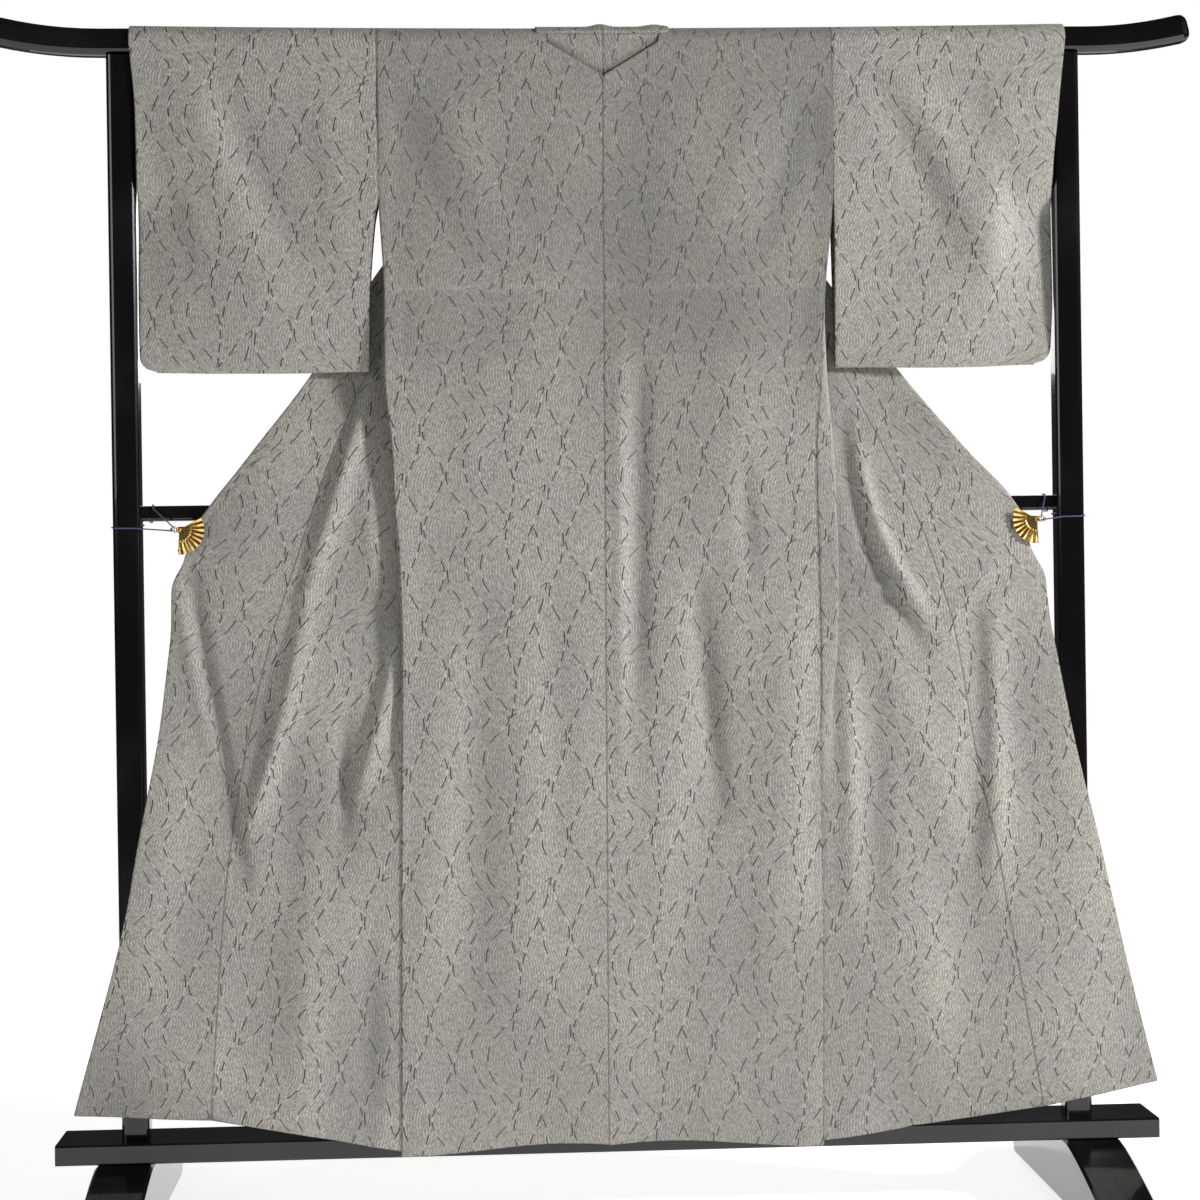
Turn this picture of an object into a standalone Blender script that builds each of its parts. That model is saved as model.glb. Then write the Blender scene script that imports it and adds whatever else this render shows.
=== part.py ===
"""Silk kimono hung back outward on a lacquered kimono rack.

The garment is built from the lengths a kimono maker sews together: two body
panels that each run from the back hem over the shoulder to the front hem, two
front overlaps, two sleeves and the collar in three stretches.  It hangs on the
top bar of the rack, and two fan clips on cords draw the front edges out wide.

Units are metres, +Z is up, -Y is the side the back of the garment faces and
the origin is on the floor under the middle of the rack.
"""

import math

import bmesh
import bpy
import numpy as np

# ---------------------------------------------------------------- rack sizes
BAR_LEVEL = 1.708          # middle of the top bar at its posts
BAR_HALF = 0.020           # half of the bar's height and depth
BAR_ROUND = 0.014          # radius of the bar's long edges
BAR_REACH = 0.875          # half length of the top bar
BAR_SAG = 0.005            # how far the bar bows down between the posts
UPTURN_START = 0.72        # where the bar's ends begin to rise
UPTURN_RATE = 0.78         # rise per square metre past that place
POST_PLACE = 0.690         # middle of each post, left and right
POST_HALF = 0.020
POST_ROUND = 0.007
RAIL_LEVEL = 1.0255        # middle of the lower rail
RAIL_HALF = 0.011
RAIL_ROUND = 0.004
BOARD_TOP = 0.1216
BOARD_THICK = 0.0291
BOARD_REACH = 0.800
BOARD_HALF_DEPTH = 0.0535
FOOT_PLACE = 0.7015
FOOT_HALF_WIDTH = 0.0415
FOOT_REACH = 0.300         # half length of a foot, front to back
FOOT_CROWN = 0.060         # half length of the level top under the board
FOOT_TOE = 0.026           # height of the toe before its end is rounded
GAP = 0.0003               # between pieces that touch

# -------------------------------------------------------------- cloth sizes
WALL = 0.0016              # thickness of the cloth wall
SEAM_GAP = 0.0006          # between the middles of two sewn edges' cut faces
HANG = 0.0242              # radius at which the cloth rounds the top bar
CENTRE = 0.008             # the garment hangs this far off the rack's middle
NECK_HALF = 0.082          # half width of the neck on the bar
NECK_POINT = 1.653         # lowest point of the back neck
HEM_LEVEL = 0.103
HEM_REACH_Y = -0.0575      # the hem hangs just in front of the base board
ARMHOLE = 1.490            # the sleeve is sewn on from the bar down to here
UNDERARM = 1.345           # from here down the back is sewn to the front
LAP = 0.0022               # the front lies this far behind the back at the seam
TURN_SOFT = 0.012          # softness of the big folds of the fronts
TURN_CROWD = 0.009         # how closely the mesh's columns gather at them
COLLAR_SHOWN = 0.012       # width of the collar before it is folded under
COLLAR_UNDER = 0.043       # width of the collar folded under
COLLAR_BEHIND = 0.0058     # how far behind the front that part lies
COLLAR_START = 1.650       # top of its front stretches, behind the bar
COLLAR_FOLDS = 1.560       # from here down its other half is folded under
COLLAR_END = 0.950         # the collar ends behind the fan of the clip
OKUMI_TIP = 1.470          # the overlap comes to its point here
SHOULDER_STEPS = 8

# The levels at which every piece of the fronts has a row of points.
FRONT_LEVELS = np.array([BAR_LEVEL, 1.694, 1.678, 1.661, 1.642,
                         *np.linspace(1.615, HEM_LEVEL, 25)])

# Each row is one level of a front panel, from the hem to the shoulder.
# seam: distance of the side seam from the rack's middle; okumi: of the seam to
# the overlap, or of the neck edge above its tip; width: cloth between the two;
# flap: cloth from there to the front edge; outward: cloth that runs outward
# before the front folds back behind the body; turn, rear: how far back the
# second and third runs of that fold lie.
FRONT_COLUMNS = ("level", "seam", "okumi", "width", "flap", "outward", "turn", "rear")
LEFT_FRONT = (
    (0.103, 0.305, 0.577, 0.272, 0.194, 0.000, -0.0553, -0.0553),
    (0.460, 0.300, 0.552, 0.252, 0.133, 0.000, -0.0467, -0.0467),
    (0.650, 0.297, 0.525, 0.230, 0.126, 0.002, -0.0365, -0.0310),
    (0.820, 0.294, 0.487, 0.252, 0.142, 0.006, -0.0310, -0.0245),
    (0.960, 0.297, 0.443, 0.256, 0.173, 0.007, -0.0275, -0.0215),
    (1.030, 0.302, 0.420, 0.257, 0.149, 0.006, -0.0240, -0.0175),
    (1.100, 0.304, 0.396, 0.256, 0.118, 0.005, -0.0205, -0.0130),
    (1.225, 0.314, 0.343, 0.252, 0.077, 0.004, -0.0120, 0.0030),
    (1.345, 0.313, 0.284, 0.250, 0.058, 0.000, 0.0010, 0.0120),
    (1.490, 0.319, 0.222, 0.247, 0.018, 0.000, 0.0200, 0.0290),
    (1.600, 0.319, 0.145, 0.246, 0.012, 0.000, 0.0242, 0.0350),
    (1.646, 0.319, 0.107, 0.243, 0.012, 0.000, 0.0242, 0.0350),
    (1.708, 0.319, 0.078, 0.241, 0.012, 0.000, 0.0242, 0.0350),
)
RIGHT_FRONT = (
    (0.103, 0.304, 0.628, 0.324, 0.169, 0.000, -0.0553, -0.0553),
    (0.460, 0.310, 0.573, 0.263, 0.149, 0.000, -0.0467, -0.0467),
    (0.650, 0.310, 0.540, 0.234, 0.146, 0.010, -0.0365, -0.0310),
    (0.820, 0.312, 0.515, 0.254, 0.142, 0.034, -0.0310, -0.0245),
    (0.960, 0.311, 0.476, 0.257, 0.161, 0.040, -0.0275, -0.0215),
    (1.030, 0.310, 0.449, 0.258, 0.149, 0.040, -0.0240, -0.0175),
    (1.100, 0.310, 0.417, 0.257, 0.119, 0.038, -0.0205, -0.0130),
    (1.225, 0.320, 0.356, 0.253, 0.081, 0.018, -0.0120, 0.0030),
    (1.345, 0.328, 0.296, 0.251, 0.047, 0.006, 0.0010, 0.0120),
    (1.490, 0.341, 0.228, 0.249, 0.018, 0.000, 0.0200, 0.0290),
    (1.600, 0.342, 0.157, 0.249, 0.012, 0.000, 0.0242, 0.0350),
    (1.646, 0.342, 0.124, 0.249, 0.012, 0.000, 0.0242, 0.0350),
    (1.708, 0.342, 0.094, 0.248, 0.012, 0.000, 0.0242, 0.0350),
)
# How far the hem of each front rises at the overlap's seam and at its edge.
HEM_RISE = {"left": (0.052, 0.062), "right": (0.042, 0.074)}

# Each row is one level of a sleeve: distance of its inner and outer edges from
# the rack's middle, and the depths of its near and far layers.
SLEEVE_COLUMNS = ("level", "inner", "outer", "near", "far")
LEFT_SLEEVE = (
    (1.233, 0.339, 0.655, -0.0140, -0.0060),
    (1.250, 0.338, 0.665, -0.0150, -0.0045),
    (1.340, 0.336, 0.667, -0.0190, 0.0080),
    (1.443, 0.328, 0.666, -0.0225, 0.0205),
    (1.490, 0.3205, 0.666, -0.0242, 0.0242),
    (1.600, 0.3205, 0.667, -0.0242, 0.0242),
    (1.708, 0.3205, 0.675, -0.0242, 0.0242),
)
RIGHT_SLEEVE = (
    (1.233, 0.345, 0.648, -0.0140, -0.0060),
    (1.250, 0.345, 0.660, -0.0150, -0.0045),
    (1.340, 0.345, 0.667, -0.0190, 0.0080),
    (1.443, 0.345, 0.667, -0.0225, 0.0205),
    (1.490, 0.3435, 0.666, -0.0242, 0.0242),
    (1.600, 0.3435, 0.676, -0.0242, 0.0242),
    (1.708, 0.3435, 0.688, -0.0242, 0.0242),
)
SLEEVE_CLOSE = 0.090       # within this of the outer edge the layers draw shut
SLEEVE_SEAM_GAP = 0.0040   # what is left between the layers at the outer seam

# --------------------------------------------------------------- clip sizes
FAN_RADIUS = 0.036
FAN_GUARD = 0.016          # radius of the plain part round the pivot
FAN_PLEATS = 9
FAN_PLEAT_DEPTH = 0.0011
FAN_WALL = 0.0009
FAN_HIGH = 28.0            # degrees above the level that the fan opens to
FAN_LOW = -92.0
FAN_LEVEL = 1.001
FAN_DEPTH = -0.0275
FAN_PLACE = {"left": 0.6135, "right": 0.6370}
PIN_HEAD = 0.0042          # radius of the pin's head, in front of the fan
PIN_NECK = 0.0026
JAW_DEPTH = -0.0120        # front face of the jaw behind the cloth
JAW_REACH = 0.0175         # half length of the jaw
JAW_HALF = 0.0050          # half its height
CORD_RADIUS = 0.0010
CORD_CLEAR = 0.0006        # between a cord and what it goes round
CORD_SPACING = 0.0050      # between the points of a cord
CORD_SHIFT = 0.0060        # how far a cord moves along the wood on its way round
RAIL_CORD = 0.6520         # where the cord crosses the lower rail

SIDES = {"left": -1.0, "right": 1.0}
FRONTS = {"left": LEFT_FRONT, "right": RIGHT_FRONT}
SLEEVES = {"left": LEFT_SLEEVE, "right": RIGHT_SLEEVE}

SILK = ("silk", (0.46, 0.43, 0.39), 0.62, 0.0)
LACQUER = ("black_lacquer", (0.008, 0.008, 0.009), 0.08, 0.0)
BRASS = ("gilt_metal", (0.83, 0.60, 0.22), 0.28, 1.0)
CORD = ("purple_cord", (0.06, 0.03, 0.12), 0.70, 0.0)


# ------------------------------------------------------------------ helpers
def clear_scene():
    for item in list(bpy.data.objects):
        bpy.data.objects.remove(item, do_unlink=True)


def finish_object(obj, finish):
    """Give the object its own material."""
    name, colour, roughness, metallic = finish
    material = bpy.data.materials.new(f"{name}_{obj.name}")
    material.use_nodes = True
    shader = material.node_tree.nodes["Principled BSDF"]
    shader.inputs["Base Color"].default_value = (*colour, 1.0)
    shader.inputs["Roughness"].default_value = roughness
    shader.inputs["Metallic"].default_value = metallic
    obj.data.materials.clear()
    obj.data.materials.append(material)


def object_from(name, points, faces, finish, sharp_angle=40.0):
    """Make one object from the points that the faces use."""
    used = sorted({number for face in faces for number in face})
    places = {number: place for place, number in enumerate(used)}
    points = [points[number] for number in used]
    faces = [[places[number] for number in face] for face in faces]
    mesh = bpy.data.meshes.new(name)
    mesh.from_pydata([tuple(p) for p in points], [], faces)
    mesh.validate()
    mesh.shade_smooth()
    mesh.set_sharp_from_angle(angle=math.radians(sharp_angle))
    obj = bpy.data.objects.new(name, mesh)
    bpy.context.scene.collection.objects.link(obj)
    finish_object(obj, finish)
    return obj


def add_wall(obj, thickness):
    """Turn an open sheet into a wall with the sheet at its middle."""
    wall = obj.modifiers.new("wall", "SOLIDIFY")
    wall.thickness = thickness
    wall.offset = 0.0
    wall.use_even_offset = False
    return wall


def eased(at, places, values):
    """Smooth curve through the rows of a table that never swings past them."""
    at = np.asarray(at, float)
    places = np.asarray(places, float)
    values = np.asarray(values, float)
    secants = np.diff(values) / np.diff(places)
    before = secants[:-1]
    after = secants[1:]
    agree = before * after > 0.0
    total = np.where(agree, before + after, 1.0)
    middle = np.where(agree, 2.0 * before * after / total, 0.0)
    slopes = np.concatenate((secants[:1], middle, secants[-1:]))
    index = np.clip(np.searchsorted(places, at) - 1, 0, len(places) - 2)
    step = places[index + 1] - places[index]
    t = np.clip((at - places[index]) / step, 0.0, 1.0)
    first = (2 * t**3 - 3 * t**2 + 1) * values[index]
    second = (-2 * t**3 + 3 * t**2) * values[index + 1]
    rise = (t**3 - 2 * t**2 + t) * step * slopes[index]
    fall = (t**3 - t**2) * step * slopes[index + 1]
    return first + second + rise + fall


def read_table(table, columns, name, at):
    rows = np.array(table)
    return eased(at, rows[:, 0], rows[:, columns.index(name)])


def soft_ramp(t, softness):
    """Zero before t = 0 and t after it, with a rounded corner."""
    return 0.5 * (t + np.sqrt(t * t + softness * softness))


def soft_step(t, softness):
    """Zero before t = 0 and one after it."""
    return 0.5 * (1.0 + t / np.sqrt(t * t + softness * softness))


def smooth_step(t):
    t = np.clip(t, 0.0, 1.0)
    return t * t * (3.0 - 2.0 * t)


def bar_level(x):
    """Middle of the top bar: bowed between the posts, rising at its ends."""
    x = np.abs(np.asarray(x, float))
    bow = BAR_SAG * np.clip(1.0 - (x / (POST_PLACE - POST_HALF)) ** 2, 0.0, 1.0)
    rise = UPTURN_RATE * np.clip(x - UPTURN_START, 0.0, None) ** 2
    return BAR_LEVEL - bow + rise


# --------------------------------------------------------------------- rack
def rounded_section(half_a, half_b, radius, corner_steps=4):
    """Points round a rectangle with round corners, counter-clockwise."""
    points = []
    for corner in range(4):
        sign_a = (1, -1, -1, 1)[corner]
        sign_b = (1, 1, -1, -1)[corner]
        middle = (sign_a * (half_a - radius), sign_b * (half_b - radius))
        for step in range(corner_steps + 1):
            angle = math.radians(90.0 * (corner + step / corner_steps))
            points.append((middle[0] + radius * math.cos(angle),
                           middle[1] + radius * math.sin(angle)))
    return points


def lofted(name, rings, finish, sharp_angle=40.0):
    """Close a run of equal rings into one solid with flat ends."""
    count = len(rings[0])
    points = [p for ring in rings for p in ring]
    faces = []
    for row in range(len(rings) - 1):
        for i in range(count):
            j = (i + 1) % count
            a = row * count
            faces.append((a + i, a + j, a + count + j, a + count + i))
    faces.append(tuple(range(count - 1, -1, -1)))
    last = (len(rings) - 1) * count
    faces.append(tuple(last + i for i in range(count)))
    obj = object_from(name, points, faces, finish, sharp_angle)
    outward_faces(obj)
    return obj


def outward_faces(obj):
    work = bmesh.new()
    work.from_mesh(obj.data)
    bmesh.ops.recalc_face_normals(work, faces=work.faces)
    work.to_mesh(obj.data)
    work.free()


def build_top_bar():
    """The bar's rounded section carried along its bowed line."""
    reach = POST_PLACE - POST_HALF
    inner = np.linspace(-reach, reach, 12)
    outer = np.linspace(UPTURN_START, BAR_REACH - 0.010, 7)
    stations = [*(-outer[::-1]), *inner, *outer]
    shrinks = [1.0] * len(stations)
    for inset, shrink in ((0.004, 0.93), (0.0, 0.74)):
        stations = [-(BAR_REACH - inset), *stations, BAR_REACH - inset]
        shrinks = [shrink, *shrinks, shrink]
    rings = []
    for x, shrink in zip(stations, shrinks):
        section = rounded_section(BAR_HALF, BAR_HALF, BAR_ROUND)
        level = float(bar_level(x))
        tilt = float(bar_level(x + 0.001) - bar_level(x - 0.001)) / 0.002
        rings.append([(x - tilt * v * shrink, u * shrink, level + v * shrink)
                      for u, v in section])
    lofted("top_bar", rings, LACQUER)


def build_post(side):
    """A rounded square post between the base board and the top bar."""
    x = SIDES[side] * POST_PLACE
    section = rounded_section(POST_HALF, POST_HALF, POST_ROUND)
    bottom = BOARD_TOP + GAP
    top = BAR_LEVEL - BAR_HALF - GAP
    rings = [[(x + u, v, z) for u, v in section] for z in (bottom, top)]
    lofted(f"post_{side}", rings, LACQUER)


def build_rail():
    """The lower rail between the posts."""
    reach = POST_PLACE - POST_HALF - GAP
    section = rounded_section(RAIL_HALF, RAIL_HALF, RAIL_ROUND, 3)
    rings = [[(x, u, RAIL_LEVEL + v) for u, v in section] for x in (-reach, reach)]
    lofted("lower_rail", rings, LACQUER)


def build_board():
    """The base board, with its edges eased."""
    middle = BOARD_TOP - BOARD_THICK / 2
    section = rounded_section(BOARD_HALF_DEPTH, BOARD_THICK / 2, 0.0025, 2)
    rings = [[(x, u, middle + v) for u, v in section]
             for x in (-BOARD_REACH, BOARD_REACH)]
    lofted("base_board", rings, LACQUER)


def foot_top(y):
    """Height of a foot's top: level under the board, then a long sag to the toe."""
    crown = BOARD_TOP - BOARD_THICK - GAP
    run = np.clip((abs(y) - FOOT_CROWN) / (FOOT_REACH - FOOT_CROWN), 0.0, 1.0)
    return crown - (crown - FOOT_TOE) * run ** 1.25


def build_foot(side):
    """A foot cut from thick board: flat sole, sloping top, round toes."""
    toe = FOOT_TOE / 2
    half = []
    for step in range(6):
        angle = math.radians(-90.0 + 165.0 * step / 5)
        half.append((FOOT_REACH - toe + toe * math.cos(angle), toe + toe * math.sin(angle)))
    tops = np.linspace(FOOT_REACH - 0.040, FOOT_CROWN, 8)
    half += [(y, float(foot_top(y))) for y in tops]
    outline = half + [(-y, z) for y, z in reversed(half)]
    x = SIDES[side] * FOOT_PLACE
    ease = 0.004
    rings = []
    for offset, inset in ((-FOOT_HALF_WIDTH, ease), (-FOOT_HALF_WIDTH + ease, 0.0),
                          (FOOT_HALF_WIDTH - ease, 0.0), (FOOT_HALF_WIDTH, ease)):
        ring = []
        for y, z in outline:
            drop = inset if z > toe else 0.0
            scale = (FOOT_REACH - inset) / FOOT_REACH
            ring.append((x + offset, y * scale, z - drop))
        rings.append(ring)
    lofted(f"foot_{side}", rings, LACQUER, 30.0)


# -------------------------------------------------------------------- cloth
def back_depth(level):
    """How far forward the back hangs: straight off the bar, then out to the hem."""
    run = np.clip((ARMHOLE - np.asarray(level, float)) / (ARMHOLE - HEM_LEVEL), 0.0, None)
    return -HANG + (HEM_REACH_Y + HANG) * run


def front_section(side, level):
    """The row of a front's table at one level, with its fold worked out.

    The inward run of the fold is whatever length brings the end of the
    panel's width to the overlap's seam.
    """
    table = FRONTS[side]
    row = {name: float(read_table(table, FRONT_COLUMNS, name, level))
           for name in FRONT_COLUMNS}
    sewn = float(smooth_step((ARMHOLE - level) / (ARMHOLE - UNDERARM)))
    row["start"] = (float(back_depth(level)) + LAP) * sewn + HANG * (1.0 - sewn)
    row["first"] = row["outward"] - 1.5 * TURN_SOFT * (1.0 - sewn)
    row["folded"] = float(smooth_step((level - 0.55) / 0.2))
    row["width"] = max(row["width"], row["okumi"] - row["seam"])
    least, most = 0.0, 0.5
    for _ in range(30):
        row["inward"] = (least + most) / 2
        across, _ = front_point(row, row["width"])
        if across > row["okumi"]:
            least = row["inward"]
        else:
            most = row["inward"]
    return row


def front_point(row, s):
    """Place and depth of a front at a distance s round its section.

    The section starts behind the side seam, runs outward, turns back behind
    the back panel, and turns again to run out to the front edge.
    """
    second = row["first"] + row["inward"]

    def bend(place):
        return soft_ramp(s - place, TURN_SOFT) - soft_ramp(-place, TURN_SOFT)

    across = row["seam"] + s - 2.0 * bend(row["first"]) + 2.0 * bend(second)
    depth = row["start"]
    depth += (row["turn"] - row["start"]) * soft_step(s - row["first"] - 0.004, TURN_SOFT)
    depth += (row["rear"] - row["turn"]) * soft_step(s - second, TURN_SOFT)
    flat = row["start"] + (row["rear"] - row["start"]) * smooth_step(s / 0.10)
    return across, depth * row["folded"] + flat * (1.0 - row["folded"])


def fold_columns(row, count):
    """Lengths round a section that crowd together at its two turns."""
    s = np.linspace(0.0, row["width"], 401)
    crowd = 1.0
    for place in (row["first"], row["first"] + row["inward"]):
        crowd = crowd + 5.0 * np.exp(-(((s - place) / TURN_CROWD) ** 2))
    total = np.concatenate(([0.0], np.cumsum((crowd[1:] + crowd[:-1]) / 2)))
    return np.interp(np.linspace(0.0, total[-1], count), total, s)


def hem_lift(side, level, share):
    """Rise of a front's threads toward its edge, fading out up the panel."""
    okumi_rise, edge_rise = HEM_RISE[side]
    fade = np.clip(1.0 - (level - HEM_LEVEL) / 1.1, 0.0, 1.0) ** 1.5
    return (okumi_rise * np.clip(share, 0.0, 1.0)
            + (edge_rise - okumi_rise) * np.clip(share - 1.0, 0.0, 1.0)) * fade


def front_row(side, level, lengths, share_start, share_end, behind=0.0):
    """One row of points at the given lengths round the section at a level.

    The points are moved off the section, to its rear side, by "behind".
    """
    section = front_section(side, level)
    across, depth = front_point(section, lengths)
    ahead_across, ahead_depth = front_point(section, lengths + GAP)
    stride = np.hypot(ahead_across - across, ahead_depth - depth)
    turned = behind * (ahead_depth - depth) / stride
    moved = behind * (ahead_across - across) / stride
    across = across - turned
    depth = depth + moved
    run = (lengths - lengths[0]) / max(lengths[-1] - lengths[0], GAP)
    share = share_start + (share_end - share_start) * run
    high = smooth_step((level - ARMHOLE) / (BAR_LEVEL - ARMHOLE))
    height = level + hem_lift(side, level, share) + (bar_level(across) - BAR_LEVEL) * high
    return [(SIDES[side] * a, d, h) for a, d, h in zip(across, depth, height)]


def grid_faces(row_starts, columns):
    """Faces of a grid whose rows begin at the given point numbers."""
    faces = []
    for row in range(len(row_starts) - 1):
        for column in range(columns - 1):
            a = row_starts[row] + column
            b = row_starts[row + 1] + column
            faces.append((a, a + 1, b + 1, b))
    return faces


def shoulder_rows(back_row, front_top):
    """Rows of points over the bar, from the back's top row to the front's."""
    rows = []
    for step in range(1, SHOULDER_STEPS):
        turn = math.pi * step / SHOULDER_STEPS
        share = step / SHOULDER_STEPS
        row = []
        for near, far in zip(back_row, front_top):
            x = near[0] * (1 - share) + far[0] * share
            middle = float(bar_level(x))
            radius = -near[1] * (1 - share) + far[1] * share
            row.append((x, -radius * math.cos(turn), middle + radius * math.sin(turn)))
        rows.append(row)
    return rows


def build_body(side):
    """One body panel: back, shoulder and front in one length of cloth."""
    sign = SIDES[side]
    columns = 15
    steps = np.linspace(0.0, 1.0, columns)
    back_levels = (HEM_LEVEL, 0.40, 0.70, 1.00, 1.20, UNDERARM, ARMHOLE, 1.60, BAR_LEVEL)
    neck = NECK_HALF + sign * CENTRE
    rows = []
    for level in back_levels:
        seam = float(read_table(FRONTS[side], FRONT_COLUMNS, "seam", level))
        inner = neck * (0.6 + 0.4 * level / BAR_LEVEL)
        depth = float(back_depth(level))
        row = []
        for step in steps:
            x = seam + (inner - seam) * step
            sag = float(bar_level(x)) - BAR_LEVEL
            high = float(smooth_step((level - 1.6) / (BAR_LEVEL - 1.6)))
            row.append((sign * x, depth, level + sag * high))
        rows.append(row)
    fronts = []
    for level in FRONT_LEVELS:
        lengths = fold_columns(front_section(side, level), columns)
        fronts.append(front_row(side, level, lengths, 0.0, 1.0))
    rows += shoulder_rows(rows[-1], fronts[0])
    rows += fronts
    points = [p for row in rows for p in row]
    faces = grid_faces([i * columns for i in range(len(rows))], columns)

    # the part of the back between the neck and the centre back seam
    inner_columns = 4
    previous = None
    for index, level in enumerate(back_levels):
        edge_x = abs(rows[index][-1][0])
        centre = sign * (CENTRE * (2.0 * level / BAR_LEVEL - 1.0)) + SEAM_GAP / 2
        numbers = [index * columns + columns - 1]
        for step in range(1, inner_columns):
            share = step / (inner_columns - 1)
            x = edge_x + (centre - edge_x) * share
            height = level
            if level == BAR_LEVEL:
                corner = rows[index][-1][2]
                height = corner + (NECK_POINT - corner) * share
            points.append((sign * x, float(back_depth(level)), height))
            numbers.append(len(points) - 1)
        if previous:
            for i in range(inner_columns - 1):
                faces.append((previous[i], previous[i + 1], numbers[i + 1], numbers[i]))
        previous = numbers
    obj = object_from(f"body_{side}", points, faces, SILK, 50.0)
    if sign > 0:
        obj.data.flip_normals()
    add_wall(obj, WALL)


def build_okumi(side):
    """The overlap panel, from the hem to its point below the neck."""
    steps = np.linspace(0.0, 1.0, 5)
    rows = []
    for level in FRONT_LEVELS[FRONT_LEVELS < OKUMI_TIP]:
        section = front_section(side, level)
        collar = COLLAR_SHOWN * float(smooth_step((level - COLLAR_END + 0.045) / 0.045))
        inner = section["width"] + SEAM_GAP
        outer = section["width"] + section["flap"] - collar
        rows.append(front_row(side, level, inner + (outer - inner) * steps, 1.0, 2.0))
    points = [p for row in rows for p in row]
    faces = grid_faces([i * 5 for i in range(len(rows))], 5)
    obj = object_from(f"okumi_{side}", points, faces, SILK, 50.0)
    if SIDES[side] > 0:
        obj.data.flip_normals()
    add_wall(obj, WALL)


def build_collar_front(side):
    """The collar down one front edge; below the neck its other half is folded under."""
    sign = SIDES[side]
    shown = np.array((0.0, 0.5, 1.0)) * COLLAR_SHOWN
    under = np.array((0.0, 0.30, 0.65, 1.0))
    rows = []
    levels = FRONT_LEVELS[(FRONT_LEVELS < COLLAR_START) & (FRONT_LEVELS > COLLAR_END)]
    for level in levels:
        section = front_section(side, level)
        start = section["width"] + section["flap"] - COLLAR_SHOWN + SEAM_GAP
        tuck = COLLAR_UNDER * (1.0 - 0.85 * float(smooth_step((level - 1.33) / 0.22)))
        folded = start + COLLAR_SHOWN - 0.001 - under * tuck
        row = front_row(side, level, start + shown, 2.0, 2.0)
        row += front_row(side, level, folded, 2.0, 2.0, COLLAR_BEHIND)
        rows.append(row)
    width = len(rows[0])
    points = [p for row in rows for p in row]
    edge = len(shown) - 1
    faces = grid_faces([i * width for i in range(len(rows))], edge + 1)
    faces += grid_faces([i * width + edge for i in range(len(rows))
                         if levels[i] < COLLAR_FOLDS], width - edge)
    obj = object_from(f"collar_{side}", points, faces, SILK, 50.0)
    if sign > 0:
        obj.data.flip_normals()
    add_wall(obj, WALL)


def build_collar_neck():
    """The collar across the back neck, up and over the bar."""
    stations = np.linspace(-1.0, 1.0, 11) * (NECK_HALF - 0.002)
    tuck = 0.006
    inner = HANG - 0.0026
    rise = 0.0093
    rows = []
    for offset in stations:
        x = CENTRE + offset
        middle = float(bar_level(x))
        start = NECK_POINT + (middle - NECK_POINT) * abs(offset) / NECK_HALF - tuck
        row = [(x, -inner, height) for height in np.linspace(start, middle + rise, 5)]
        for step in range(2, SHOULDER_STEPS + 1):
            turn = math.pi * step / SHOULDER_STEPS
            row.append((x, -HANG * math.cos(turn), middle + HANG * math.sin(turn)))
        row.append((x, HANG, middle - 0.014))
        rows.append(row)
    width = len(rows[0])
    points = [p for row in rows for p in row]
    faces = grid_faces([i * width for i in range(len(rows))], width)
    obj = object_from("collar_neck", points, faces, SILK, 50.0)
    add_wall(obj, WALL)


def build_sleeve(side):
    """A sleeve: a flat bag over the bar, open toward the body and at the wrist."""
    sign = SIDES[side]
    table = SLEEVES[side]
    columns = 10
    steps = 1.0 - (1.0 - np.linspace(0.0, 1.0, columns)) ** 1.5
    levels = (1.233, 1.250, 1.290, 1.340, 1.390, 1.443, ARMHOLE, 1.60, BAR_LEVEL)

    def layer_row(level, layer):
        inner, outer, near, far = (float(read_table(table, SLEEVE_COLUMNS, name, level))
                                   for name in SLEEVE_COLUMNS[1:])
        shut = float(smooth_step((ARMHOLE + 0.02 - level) / 0.07))
        row = []
        for step in steps:
            x = inner + (outer - inner) * step
            edge = float(smooth_step(1.0 - (outer - x) / SLEEVE_CLOSE))
            middle = (near + far) / 2
            half = (far - near) / 2
            half += (SLEEVE_SEAM_GAP / 2 - half) * edge * shut
            depth = middle - half if layer == "near" else middle + half
            high = float(smooth_step((level - 1.6) / (BAR_LEVEL - 1.6)))
            sag = float(bar_level(x)) - BAR_LEVEL
            row.append((sign * x, depth, level + sag * high))
        return row

    near_rows = [layer_row(level, "near") for level in levels]
    far_rows = [layer_row(level, "far") for level in reversed(levels)]
    fold = []
    for near, far in zip(near_rows[0], far_rows[-1]):
        fold.append((near[0], (near[1] + far[1]) / 2, near[2] - 0.002))
    rows = near_rows + shoulder_rows(near_rows[-1], far_rows[0]) + far_rows + [fold]
    points = [p for row in rows for p in row]
    starts = [i * columns for i in range(len(rows))] + [0]
    faces = grid_faces(starts, columns)
    closed = levels.index(ARMHOLE)
    last = len(near_rows) + SHOULDER_STEPS - 1 + len(far_rows) - 1
    outer = columns - 1
    for row in range(closed):
        far_row = last - row
        faces.append((row * columns + outer, far_row * columns + outer,
                      (far_row - 1) * columns + outer, (row + 1) * columns + outer))
    bottom = (len(rows) - 1) * columns + outer
    faces.append((outer, bottom, last * columns + outer))
    obj = object_from(f"sleeve_{side}", points, faces, SILK, 50.0)
    if sign < 0:
        obj.data.flip_normals()
    add_wall(obj, WALL)


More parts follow.
